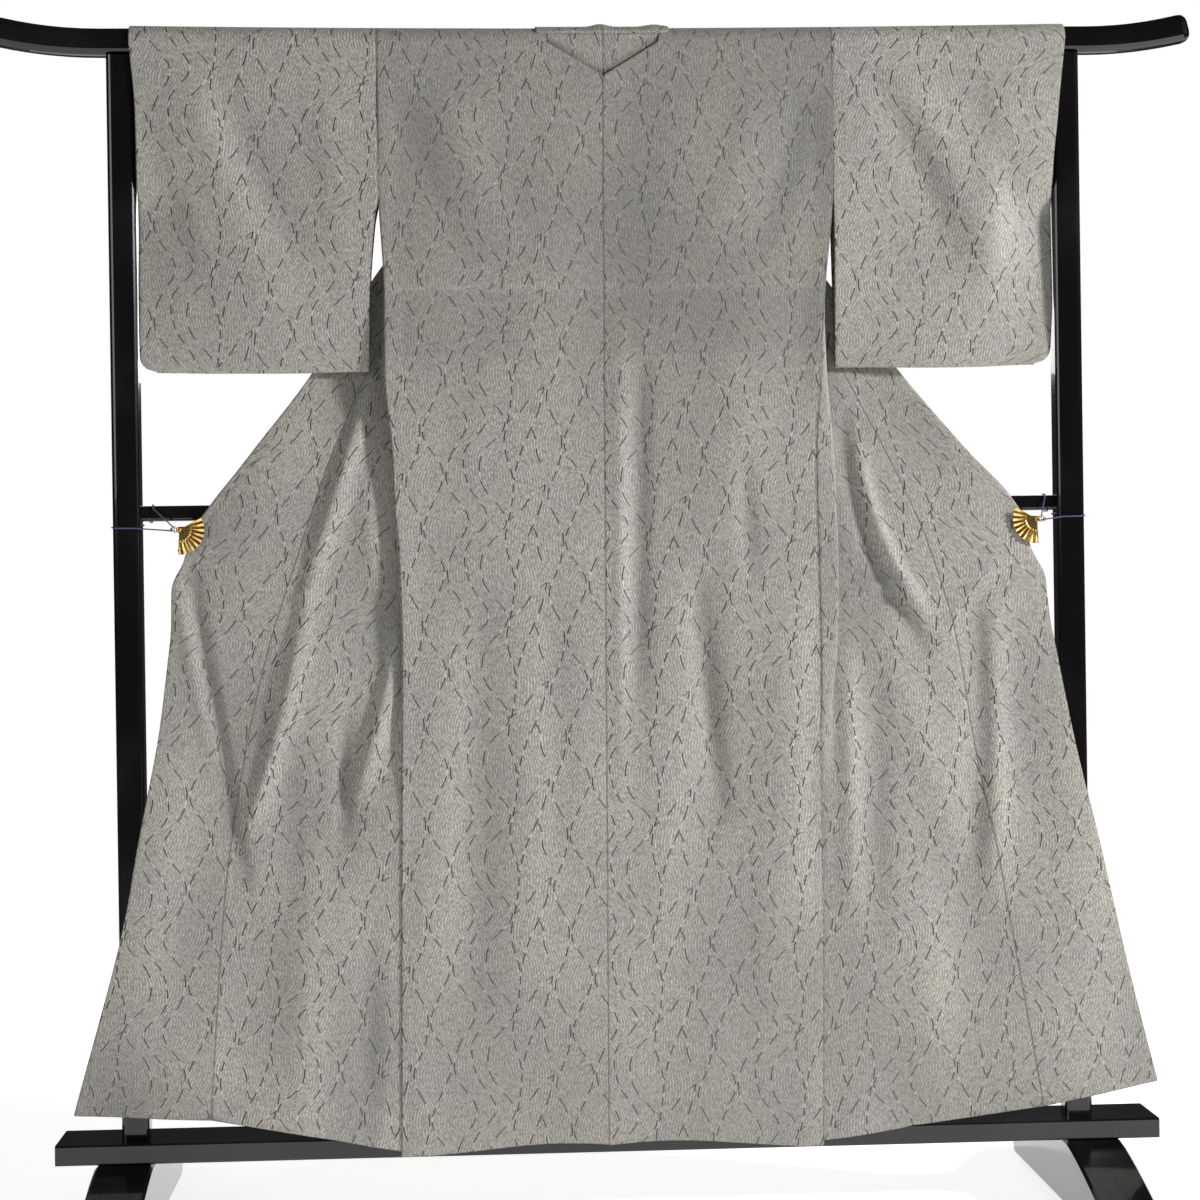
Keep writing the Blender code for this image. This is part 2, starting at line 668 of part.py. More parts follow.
# -------------------------------------------------------------------- clips
def build_fan(side):
    """A pleated folding fan of sheet metal, in front of the cloth."""
    sign = SIDES[side]
    angles = np.radians(np.linspace(FAN_HIGH, FAN_LOW, 2 * FAN_PLEATS + 1))
    radii = (0.005, FAN_GUARD, FAN_GUARD + 0.003, FAN_RADIUS)
    points = []
    for ring, radius in enumerate(radii):
        for index, angle in enumerate(angles):
            lift = FAN_PLEAT_DEPTH if index % 2 else -FAN_PLEAT_DEPTH
            lift = lift if ring > 1 else 0.0
            points.append((sign * (FAN_PLACE[side] - radius * math.cos(angle)),
                           FAN_DEPTH + lift, FAN_LEVEL + radius * math.sin(angle)))
    count = len(angles)
    faces = grid_faces([i * count for i in range(len(radii))], count)
    obj = object_from(f"fan_{side}", points, faces, BRASS, 15.0)
    if sign > 0:
        obj.data.flip_normals()
    add_wall(obj, FAN_WALL)


def build_clip(side):
    """The spring clip: a pin through the fan and a flat jaw behind the cloth."""
    pivot = FAN_PLACE[side]
    front = FAN_DEPTH - 0.0020
    head = rounded_section(PIN_HEAD, PIN_HEAD, PIN_HEAD - GAP / 3)
    neck = rounded_section(PIN_NECK, PIN_NECK, PIN_NECK - GAP / 3)
    jaw = rounded_section(JAW_REACH, JAW_HALF, JAW_HALF - GAP / 3)
    jaw_middle = pivot + JAW_HALF - JAW_REACH
    stack = ((head, pivot, front), (head, pivot, front + 0.0008),
             (neck, pivot, front + 0.0009), (neck, pivot, JAW_DEPTH - 0.0001),
             (jaw, jaw_middle, JAW_DEPTH), (jaw, jaw_middle, JAW_DEPTH + 0.0010))
    rings = [[(SIDES[side] * (middle + u), y, FAN_LEVEL + v) for u, v in outline]
             for outline, middle, y in stack]
    lofted(f"clip_{side}", rings, BRASS)


def divided(route, spacing):
    """The route with points set in wherever two are further apart than spacing."""
    route = [np.array(place, float) for place in route]
    full = []
    for here, there in zip(route, route[1:]):
        count = math.ceil(float(np.linalg.norm(there - here)) / spacing)
        full += [here + (there - here) * step / count for step in range(count)]
    return full + [route[-1]]


def build_cord(name, side, route):
    """A thin round cord along a route given for the right-hand side."""
    route = divided(route, CORD_SPACING)
    curve = bpy.data.curves.new(name, "CURVE")
    curve.dimensions = "3D"
    curve.bevel_depth = CORD_RADIUS
    curve.bevel_resolution = 2
    curve.use_fill_caps = True
    spline = curve.splines.new("POLY")
    spline.points.add(len(route) - 1)
    for point, (x, y, z) in zip(spline.points, route):
        point.co = (SIDES[side] * x, y, z, 1.0)
    obj = bpy.data.objects.new(name, curve)
    bpy.context.scene.collection.objects.link(obj)
    finish_object(obj, CORD)


def build_cords(side):
    """The cord round the post and the one over the lower rail.

    Each leaves the pin of the clip in a straight run and goes once round the
    wood with its middle a fixed way off it, shifted a little along the wood on
    its way round, so that its end lies clear of its beginning.
    """
    clear = CORD_RADIUS + CORD_CLEAR
    steps = 3
    lug = FAN_PLACE[side] + PIN_HEAD + clear
    around = rounded_section(POST_HALF + clear, POST_HALF + clear, POST_ROUND + clear, steps)
    begin = 3 * (steps + 1) - 1
    wound = around[begin:] + around[:begin - steps + 1]
    levels = np.linspace(FAN_LEVEL + 0.003, FAN_LEVEL + 0.003 + CORD_SHIFT, len(wound))
    route = [(lug, FAN_DEPTH, FAN_LEVEL - CORD_RADIUS - CORD_CLEAR)]
    route += [(POST_PLACE + u, v, z) for (u, v), z in zip(wound, levels)]
    build_cord(f"cord_post_{side}", side, route)

    wound = rounded_section(RAIL_HALF + clear, RAIL_HALF + clear, RAIL_ROUND + clear, steps)
    places = np.linspace(RAIL_CORD, RAIL_CORD + CORD_SHIFT, len(wound))
    route = [(lug, FAN_DEPTH, FAN_LEVEL + CORD_RADIUS + CORD_CLEAR)]
    route += [(x, -u, RAIL_LEVEL + v) for (u, v), x in zip(wound, places)]
    build_cord(f"cord_rail_{side}", side, route)


def main():
    clear_scene()
    build_top_bar()
    build_rail()
    build_board()
    for side in SIDES:
        build_post(side)
        build_foot(side)
        build_body(side)
        build_okumi(side)
        build_sleeve(side)
        build_collar_front(side)
        build_fan(side)
        build_clip(side)
        build_cords(side)
    build_collar_neck()


main()
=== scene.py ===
"""Looks of a silk kimono hung back outward on a black lacquered kimono rack.

The rack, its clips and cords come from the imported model.  Every length of cloth
is made here again as a thin shell on the form of its solid, with its creases,
its turned seams and its woven figure.  Units are metres, +Z is up and the back
of the kimono faces -Y.
"""

from __future__ import annotations

import logging
import math
from collections.abc import Sequence
from dataclasses import dataclass
from enum import Enum
from functools import reduce

import bmesh
import bpy
import numpy as np
from mathutils import Matrix, Vector


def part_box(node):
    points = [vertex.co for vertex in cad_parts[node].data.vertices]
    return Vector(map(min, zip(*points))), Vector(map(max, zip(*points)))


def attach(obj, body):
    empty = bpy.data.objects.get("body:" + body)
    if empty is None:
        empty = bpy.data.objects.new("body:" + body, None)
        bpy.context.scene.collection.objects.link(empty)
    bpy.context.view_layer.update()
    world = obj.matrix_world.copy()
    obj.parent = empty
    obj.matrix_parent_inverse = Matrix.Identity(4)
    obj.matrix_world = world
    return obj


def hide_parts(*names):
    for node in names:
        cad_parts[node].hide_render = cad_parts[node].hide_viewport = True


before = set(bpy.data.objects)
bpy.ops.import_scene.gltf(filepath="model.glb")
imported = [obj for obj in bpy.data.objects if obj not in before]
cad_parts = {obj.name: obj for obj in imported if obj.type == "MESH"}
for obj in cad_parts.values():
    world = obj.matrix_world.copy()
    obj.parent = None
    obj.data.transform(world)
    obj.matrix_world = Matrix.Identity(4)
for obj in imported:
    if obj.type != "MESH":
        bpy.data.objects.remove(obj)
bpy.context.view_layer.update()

Array = np.ndarray
Colour = tuple[float, float, float]
Point = tuple[float, float, float]

log = logging.getLogger("kimono")
TAU = 2.0 * math.pi
BODY = "root"
HALF_TURN = np.linspace(0.0, math.pi, 17)[1:-1, None]


class Side(Enum):
    """The two sides of the garment and the rack, as seen from the back."""

    LEFT = -1
    RIGHT = 1

    @property
    def word(self) -> str:
        """The side's name as the nodes spell it."""
        return self.name.lower()


# ------------------------------------------------------------------ shader maths
class Value:
    """A number in a shader, with the arithmetic of Math nodes."""

    def __init__(self, tree: "Tree", socket: bpy.types.NodeSocket) -> None:
        """Wraps one output socket of a tree."""
        self.tree = tree
        self.socket = socket

    def _maths(self, operation: str, *others: "Value | float") -> "Value":
        """A Math node with this value as its first input."""
        inputs = dict(enumerate((self, *others)))
        return self.tree.value("ShaderNodeMath", {"operation": operation}, inputs)

    def __add__(self, other: "Value | float") -> "Value":
        """Sum."""
        return self._maths("ADD", other)

    __radd__ = __add__

    def __mul__(self, other: "Value | float") -> "Value":
        """Product."""
        return self._maths("MULTIPLY", other)

    __rmul__ = __mul__

    def __sub__(self, other: "Value | float") -> "Value":
        """Difference."""
        return self._maths("SUBTRACT", other)

    def __rsub__(self, other: float) -> "Value":
        """Difference from a plain number."""
        return self.tree.value("ShaderNodeMath", {"operation": "SUBTRACT"}, {0: other, 1: self})

    def __truediv__(self, other: "Value | float") -> "Value":
        """Quotient."""
        return self._maths("DIVIDE", other)

    def __neg__(self) -> "Value":
        """Negative."""
        return self._maths("MULTIPLY", -1.0)

    def __abs__(self) -> "Value":
        """Absolute value."""
        return self._maths("ABSOLUTE")

    def sine(self) -> "Value":
        """Sine of an angle in radians."""
        return self._maths("SINE")

    def most(self, other: "Value | float") -> "Value":
        """The larger of two values."""
        return self._maths("MAXIMUM", other)

    def least(self, other: "Value | float") -> "Value":
        """The smaller of two values."""
        return self._maths("MINIMUM", other)

    def wrapped(self, high: float, low: float) -> "Value":
        """The value carried round into a range."""
        return self._maths("WRAP", high, low)

    def eased(self, low: float, high: float) -> "Value":
        """A smooth step.

        Args:
            low: Where it leaves zero.
            high: Where it reaches one.

        Returns:
            Three squares less two cubes of the share of the way between.
        """
        settings = {"interpolation_type": "SMOOTHSTEP"}
        inputs = {0: self, 1: low, 2: high, 3: 0.0, 4: 1.0}
        return self.tree.value("ShaderNodeMapRange", settings, inputs)


class Tree:
    """The node tree of one new material."""

    def __init__(self, name: str) -> None:
        """Starts a material with only its Principled shader.

        Args:
            name: The material's name.
        """
        self.material = bpy.data.materials.new(name)
        self.material.use_nodes = True
        self.nodes = self.material.node_tree.nodes
        self.links = self.material.node_tree.links
        self.shader = self.nodes["Principled BSDF"]

    def node(self, kind: str, settings: dict | None = None,
             inputs: dict | None = None) -> bpy.types.Node:
        """Makes one node.

        Args:
            kind: The node's Blender type name.
            settings: Its own settings, set before its sockets.
            inputs: Values or links of its input sockets, by name or number.

        Returns:
            The node.
        """
        made = self.nodes.new(kind)
        for name, setting in (settings or {}).items():
            setattr(made, name, setting)
        for name, given in (inputs or {}).items():
            self.feed(made.inputs[name], given)
        return made

    def value(self, kind: str, settings: dict | None = None, inputs: dict | None = None,
              output: int | str = 0) -> Value:
        """Makes one node and returns one of its outputs as a value."""
        return Value(self, self.node(kind, settings, inputs).outputs[output])

    def feed(self, socket: bpy.types.NodeSocket, given: object) -> None:
        """Links a value or a socket to an input, or sets the input's own number.

        Args:
            socket: The input.
            given: What it gets.
        """
        if isinstance(given, Value):
            self.links.new(given.socket, socket)
        elif isinstance(given, bpy.types.NodeSocket):
            self.links.new(given, socket)
        else:
            socket.default_value = given

    def principled(self, **inputs: object) -> None:
        """Sets or links sockets of the Principled shader, with _ for spaces."""
        for name, given in inputs.items():
            self.feed(self.shader.inputs[name.replace("_", " ")], given)

    def mixed(self, share: Value | float, first: object, second: object) -> bpy.types.NodeSocket:
        """Mixes two colours.

        Args:
            share: How much of the second shows.
            first: A colour or its socket.
            second: A colour or its socket.

        Returns:
            The mixed colour's socket.
        """
        made = self.node("ShaderNodeMix", {"data_type": "RGBA"}, {0: share})
        for number, given in ((6, first), (7, second)):
            self.feed(made.inputs[number], (*given, 1.0) if isinstance(given, tuple) else given)
        return made.outputs[2]

    def noise(self, where: object, scale: float, detail: float = 2.0, rough: float = 0.5) -> Value:
        """Cloudy noise between zero and one at a place."""
        inputs = {"Vector": where, "Scale": scale, "Detail": detail, "Roughness": rough}
        return self.value("ShaderNodeTexNoise", {}, inputs)

    def attribute(self, name: str) -> Value:
        """A number stored on the mesh's points."""
        return self.value("ShaderNodeAttribute", {"attribute_name": name}, {}, "Fac")

    def object_place(self) -> bpy.types.NodeSocket:
        """The place on the object, in its own metres."""
        return self.node("ShaderNodeTexCoord").outputs["Object"]

    def split(self, vector: object) -> tuple[Value, Value, Value]:
        """The three parts of a vector."""
        made = self.node("ShaderNodeSeparateXYZ", {}, {0: vector})
        return tuple(Value(self, output) for output in made.outputs)

    def bumped(self, height: Value, depth: float, strength: float = 1.0) -> bpy.types.NodeSocket:
        """A normal bent by a height of the given depth in metres."""
        inputs = {"Height": height, "Distance": depth, "Strength": strength}
        return self.node("ShaderNodeBump", {}, inputs).outputs[0]


# ---------------------------------------------------------------------- finishes
@dataclass(frozen=True)
class Stream:
    """An endless wavy edge between two streams of the woven figure.

    The edge is place + swing * cos(turn - peak) + ripple * cos(2 turn), where
    turn goes once round in each repeat along the cloth.
    """

    place: float
    swing: float
    peak: float
    ripple: float


@dataclass(frozen=True)
class Stroke:
    """A line of the woven figure that starts afresh in each repeat.

    It leans from its first place to its last with a sway of
    "sway" * sin(once round), and ends after its length in repeats.
    """

    first: float
    last: float
    sway: float
    start: float
    length: float


@dataclass(frozen=True)
class Silk:
    """Grey silk with streams of fine pale lines and dark dashes on their edges."""

    across: float = 0.205
    along: float = 0.142
    slant: float = 0.092
    fine: float = 0.0043
    thread: tuple[float, float] = (0.0004, 0.0014)
    weave: float = 430.0
    beats: int = 5
    ground: Colour = (0.400, 0.374, 0.322)
    # Cool grey of the cloth's cloudy tone; a third of it is also the colour of the painted shade.
    cool_tone_and_shade: Colour = (0.352, 0.343, 0.322)
    pale: Colour = (0.68, 0.65, 0.58)
    # Dark of the woven dashes, and also the colour of the painted seam shade.
    ink_and_seam_shade: Colour = (0.040, 0.027, 0.029)
    streams: tuple[Stream, ...] = (
        Stream(0.033, 0.0190, 0.00, 0.0030),
        Stream(0.060, 0.0060, 0.68, 0.0008),
        Stream(0.1275, 0.0105, 0.20, 0.0015),
        Stream(0.155, 0.0140, 0.62, 0.0020),
        Stream(0.188, 0.0155, 0.05, 0.0020),
        Stream(0.213, 0.0165, 0.97, 0.0030),
    )
    strokes: tuple[Stroke, ...] = (
        Stroke(0.112, 0.0665, 0.0030, 0.60, 0.985),
        Stroke(0.112, 0.0570, -0.0030, 0.60, 0.400),
        Stroke(0.094, 0.1060, 0.0020, 0.05, 0.330),
    )

    def dashes(self, down: Value, order: int, beats: int) -> Value:
        """Uneven dashes along the cloth.

        Args:
            down: Distance along the cloth.
            order: Which edge it is, so that no two beat alike.
            beats: Dashes in each repeat.

        Returns:
            One on a dash and zero between, as a sine whose own phase sways.
        """
        sway = (down * (TAU / self.along) + 1.7 * order).sine() * 1.1
        beat = (down * (TAU * beats / self.along) + sway + 2.1 * order).sine()
        return beat.eased(-0.60, -0.10)

    def near(self, off: Value) -> Value:
        """One on a line and zero off it, by the distance from it either way."""
        return 1.0 - abs(off.wrapped(self.across / 2, -self.across / 2)).eased(*self.thread)

    def figure(self, tree: Tree, across: Value, down: Value) -> tuple[Value, Value, Value]:
        """The pale and dark masks of the woven figure and its grain.

        The fine pale lines of a stream are counted from the edge on its left;
        every edge and stroke is dark on its dashes and pale between them.

        Args:
            tree: The material's tree.
            across: Place across the cloth.
            down: Place along the cloth.

        Returns:
            The pale mask, the dark mask and a grain that runs with the streams.
        """
        down = -(down + across * self.slant)
        turn = down * (TAU / self.along)
        quarter = 0.25 * TAU
        offs, edges, darks = [], [], []
        for order, stream in enumerate(self.streams):
            line = (turn + (quarter - stream.peak * TAU)).sine() * stream.swing
            line = line + (turn * 2.0 + quarter).sine() * stream.ripple + stream.place
            offs.append((across - line).wrapped(self.across, 0.0))
            edges.append(self.near(offs[-1]))
            darks.append(edges[-1] * self.dashes(down, order, self.beats + order % 2))
        for order, stroke in enumerate(self.strokes, len(self.streams)):
            length = stroke.length * self.along
            share = (down - stroke.start * self.along).wrapped(self.along, 0.0) / length
            line = share * (stroke.last - stroke.first) + (share * TAU).sine() * stroke.sway
            alive = 1.0 - share.eased(0.985, 1.0)
            edges.append(self.near(across - line - stroke.first) * alive)
            darks.append(edges[-1] * self.dashes(down, order, self.beats))
        left, dark = reduce(Value.least, offs), reduce(Value.most, darks)
        fine = (left * (TAU / self.fine)).sine().eased(0.0, 0.9)
        pale = fine.most(reduce(Value.most, edges)) * (1.0 - dark)
        flow = {"X": left * 1.5, "Y": down * 0.45, "Z": across * 0.3}
        flow = tree.node("ShaderNodeCombineXYZ", {}, flow).outputs[0]
        return pale, dark, tree.noise(flow, self.weave, 2.0, 0.8)

    def material(self) -> bpy.types.Material:
        """The finished silk, on the map "cloth" that is in metres of cloth."""
        tree = Tree("silk")
        place = tree.node("ShaderNodeUVMap", {"uv_map": "cloth"}).outputs[0]
        across, down, _ = tree.split(place)
        pale, dark, grain = self.figure(tree, across, down)
        cloud = tree.noise(place, 9.0, 2.0)
        fray = tree.noise(place, 210.0, 1.0)
        # The shade attribute is painted shade laid on the cloth's points.
        shade = tree.attribute("shade")
        seam = tree.attribute("seam")
        ground = tree.mixed(cloud.eased(0.3, 0.7), self.ground, self.cool_tone_and_shade)
        lit = tree.mixed(pale * (grain * 1.3 + fray * 0.5 - 0.32).most(0.0), ground, self.pale)
        speck = tree.mixed(grain.eased(0.60, 0.34) * 0.85, lit, tuple(c * 0.42 for c in self.ground))
        inked = tree.mixed((dark * (0.70 + fray * 0.85)).least(1.0), speck, self.ink_and_seam_shade)
        # Painted shade of the seams' grooves, the turned edges and the neck collar's fold: the cloth goes
        # toward the dashes' dark near them.
        seam_shaded = tree.mixed((1.0 - seam.eased(0.0002, 0.0016)) * 0.55, inked, self.ink_and_seam_shade)
        # Painted shade: the cloth goes toward a dark cool grey by the share laid on its points.
        dimmed = tree.mixed(shade, seam_shaded, tuple(c * 0.35 for c in self.cool_tone_and_shade))
        slub = tree.node("ShaderNodeMapping", {}, {"Vector": place, "Scale": (1.5, 0.6, 1.0)})
        crinkle = tree.noise(slub.outputs[0], self.weave, 1.0, 0.7)
        tree.principled(Base_Color=dimmed, Roughness=0.50 + grain * 0.16,
                        Specular_IOR_Level=0.42, Sheen_Weight=0.18, Sheen_Roughness=0.45,
                        Normal=tree.bumped(crinkle, 0.00034, 0.8))
        return tree.material


@dataclass(frozen=True)
class Lacquer:
    """Black gloss lacquer with the faint waviness and dust of a rubbed coat."""

    name: str = "black_lacquer"
    base: Colour = (0.0045, 0.0042, 0.0046)
    haze: Colour = (0.012, 0.011, 0.011)

    def material(self) -> bpy.types.Material:
        """The finished lacquer."""
        tree = Tree(self.name)
        place = tree.object_place()
        wave = tree.noise(place, 16.0, 2.0)
        dust = tree.noise(place, 900.0, 1.0)
        rub = tree.noise(place, 5.0, 3.0)
        tree.principled(
            Base_Color=tree.mixed(rub.eased(0.45, 0.75), self.base, self.haze),
            Roughness=0.10 + rub * 0.08 + dust * 0.03,
            Specular_IOR_Level=0.30,
            Coat_Weight=0.6,
            Coat_Roughness=0.03,
            Normal=tree.bumped(wave + dust * 0.015, 0.0006, 0.5),
        )
        return tree.material


@dataclass(frozen=True)
class Gilt:
    """Polished gilt metal with a little darkening, laid as cloudy noise of tarnish."""

    name: str = "gilt_metal"
    bright: Colour = (0.93, 0.66, 0.24)
    dull: Colour = (0.55, 0.34, 0.09)

    def material(self) -> bpy.types.Material:
        """The finished metal."""
        tree = Tree(self.name)
        place = tree.object_place()
        tarnish = tree.noise(place, 140.0, 3.0)
        scratch = tree.noise(place, 1600.0, 1.0)
        tree.principled(
            Base_Color=tree.mixed(tarnish.eased(0.42, 0.70), self.bright, self.dull),
            Metallic=1.0,
            Roughness=0.16 + tarnish * 0.16 + scratch * 0.05,
            Normal=tree.bumped(scratch, 0.00003, 0.6),
        )
        return tree.material


@dataclass(frozen=True)
class TwistedCord:
    """Twisted purple cord, its plies slanting across it."""

    pitch: float = 0.0021
    dark: Colour = (0.045, 0.018, 0.10)
    light: Colour = (0.19, 0.09, 0.33)

    def material(self) -> bpy.types.Material:
        """The finished cord: slanting plies with fibre between them."""
        tree = Tree("purple_cord")
        place = tree.object_place()
        across, deep, high = tree.split(place)
        ply = ((across + deep * 0.7 + high) * (TAU / self.pitch)).sine() * 0.5 + 0.5
        fibre = tree.noise(place, 2600.0, 1.0)
        tree.principled(
            Base_Color=tree.mixed(ply * (0.5 + fibre * 0.5), self.dark, self.light),
            Roughness=0.55 + fibre * 0.2,
            Sheen_Weight=0.25,
            Normal=tree.bumped(ply + fibre * 0.2, 0.00025, 0.8),
        )
        return tree.material


@dataclass(frozen=True)
class PaleFloor:
    """The studio's pale matt floor."""

    tint: Colour = (0.90, 0.90, 0.90)
    glow: float = 0.72

    def material(self) -> bpy.types.Material:
        """The finished floor."""
        tree = Tree("pale_floor")
        speck = tree.noise(tree.object_place(), 60.0, 2.0)
        tint = tree.mixed(speck, self.tint, tuple(c * 0.985 for c in self.tint))
        tree.principled(Base_Color=tint, Roughness=0.9, Emission_Color=(1.0, 1.0, 1.0, 1.0),
                        Emission_Strength=self.glow)
        return tree.material


# ---------------------------------------------------------------- shape formulas
def smooth_step(t: Array) -> Array:
    """Zero below t = 0 and one above t = 1, as 3 t squared less 2 t cubed between."""
    t = np.clip(t, 0.0, 1.0)
    return t * t * (3.0 - 2.0 * t)


def soft_ramp(t: Array, softness: float) -> Array:
    """Zero before t = 0 and t after it, as half of t plus a hyperbola in t."""
    return 0.5 * (t + np.sqrt(t * t + softness * softness))


def soft_step(t: Array, softness: float) -> Array:
    """The slope of a soft ramp: zero before t = 0 and one after it."""
    return 0.5 * (1.0 + t / np.sqrt(t * t + softness * softness))


@dataclass(frozen=True)
class Table:
    """Sizes of one length of cloth at a few levels, read along smooth curves."""

    columns: tuple[str, ...]
    rows: tuple[tuple[float, ...], ...]

    def read(self, name: str, level: Array) -> Array:
        """Reads one column at any levels.

        Args:
            name: The column.
            level: Heights above the floor.

        Returns:
            A cubic between rows whose slopes are harmonic means of those on
            either side, so that it never swings past a row.
        """
        rows = np.array(self.rows)
        places, values = rows[:, 0], rows[:, self.columns.index(name)]
        secants = np.diff(values) / np.diff(places)
        before, after = secants[:-1], secants[1:]
        agree = before * after > 0.0
        total = np.where(agree, before + after, 1.0)
        middle = np.where(agree, 2.0 * before * after / total, 0.0)
        slopes = np.concatenate((secants[:1], middle, secants[-1:]))
        index = np.clip(np.searchsorted(places, level) - 1, 0, len(places) - 2)
        step = places[index + 1] - places[index]
        t = np.clip((level - places[index]) / step, 0.0, 1.0)
        first = (2 * t**3 - 3 * t**2 + 1) * values[index] + (3 * t**2 - 2 * t**3) * values[index + 1]
        slope = (t**3 - 2 * t**2 + t) * slopes[index] + (t**3 - t**2) * slopes[index + 1]
        return first + step * slope


@dataclass(frozen=True)
class Cut:
    """Sizes that every length of cloth shares."""

    bar: float = 1.708
    sag: float = 0.005
    sag_reach: float = 0.670
    hang: float = 0.0242
    centre: float = 0.008
    neck_half: float = 0.082
    neck_point: float = 1.653
    hem: float = 0.103
    hem_depth: float = -0.0575
    armhole: float = 1.490
    underarm: float = 1.345
    tuck: float = 1.344
    tuck_end: float = 1.246
    lap: float = 0.0022
    soft: float = 0.012
    gap: float = 0.0006
    shell: float = 0.0008

    def bar_level(self, x: Array) -> Array:
        """Middle of the top bar, bowed down between the posts as a parabola."""
        return self.bar - self.sag * np.clip(1.0 - (x / self.sag_reach) ** 2, 0.0, 1.0)

    def back_depth(self, level: Array) -> Array:
        """Depth of the back: straight off the bar, then sloping out to the hem."""
        run = np.clip((self.armhole - level) / (self.armhole - self.hem), 0.0, None)
        return -self.hang + (self.hem_depth + self.hang) * run


CUT = Cut()


@dataclass(frozen=True)
class Crease:
    """One soft ridge or trough laid on the cloth.

    Seen from the back it runs from start to end, each a place across and a
    level, and bows to its left by "bow" half way.  Its height is depth times
    the bell curve of the distance from that line, wider on one side by "lean",
    and it dies away at both ends as the root of a sine.
    """

    start: tuple[float, float]
    end: tuple[float, float]
    depth: float
    width: float
    bow: float = 0.0
    lean: float = 0.0

    def push(self, x: Array, z: Array) -> Array:
        """How far each place is pushed toward the viewer of the back.

        Args:
            x: Places across.
            z: Their levels.

        Returns:
            Its depth times a bell curve across it and the root of half a wave along it.
        """
        run = np.array(self.end) - np.array(self.start)
        length = float(np.hypot(*run))
        run = run / length
        along = ((x - self.start[0]) * run[0] + (z - self.start[1]) * run[1]) / length
        off = (x - self.start[0]) * run[1] - (z - self.start[1]) * run[0]
        inside = np.clip(along, 0.0, 1.0)
        off = off - self.bow * 4.0 * inside * (1.0 - inside)
        width = self.width * (1.0 + self.lean * np.tanh(off / self.width))
        return self.depth * np.exp(-((off / width) ** 2)) * np.sqrt(np.sin(math.pi * inside))


@dataclass(frozen=True)
class Sway:
    """Slow unevenness of hanging cloth: a sum of slanting sine waves.

    Each wave has a length across, a slant, a phase and a height.
    """

    waves: tuple[tuple[float, float, float, float], ...]

    def push(self, x: Array, z: Array) -> Array:
        """How far each place is pushed toward the viewer of the back.

        Args:
            x: Places across.
            z: Their levels.

        Returns:
            The sum of the waves' heights at each.
        """
        total = np.zeros_like(x)
        for length, slant, phase, height in self.waves:
            total = total + height * np.sin(TAU * (x + slant * z) / length + phase)
        return total


Folds = Sequence[Crease | Sway]


def pushed(folds: Folds, x: Array, z: Array) -> Array:
    """The sum of what all the folds push at each place."""
    return sum((fold.push(x, z) for fold in folds), np.zeros_like(x))


def hollowed(folds: Folds, x: Array, z: Array, depth: float, ridge: float) -> Array:
    """How deep in a trough each place lies: one at a depth, and down to -ridge on ridges."""
    return np.clip(-pushed(folds, x, z) / depth, -ridge, 1.0)


def rising(level: Array, start: float, run: float) -> Array:
    """Zero up to a start and one past its run, with a smooth step between."""
    return smooth_step((level - start) / run)


def over_bar(last: Array, first: Array) -> Array:
    """Rows of cloth over the bar, between the last row of the back and the first in front.

    Each row is a turn round half a circle about the bar's middle, its radius
    and its places across going evenly from the one row to the other.

    Args:
        last: Points of the back's last row, columns x 3.
        first: Points of the first row in front, columns x 3.

    Returns:
        The rows between, rows x columns x 3.
    """
    share = HALF_TURN / math.pi
    x = last[:, 0] * (1 - share) + first[:, 0] * share
    radius = -last[:, 1] * (1 - share) + first[:, 1] * share
    level = CUT.bar_level(x) + radius * np.sin(HALF_TURN)
    return np.stack((x, -radius * np.cos(HALF_TURN), level), axis=-1)


# ------------------------------------------------------------------ cloth meshes
class Edge(Enum):
    """An edge of a grid: its axis and which end of that axis."""

    FIRST_ROW = (0, 0)
    LAST_ROW = (0, -1)
    FIRST_COLUMN = (1, 0)
    LAST_COLUMN = (1, -1)


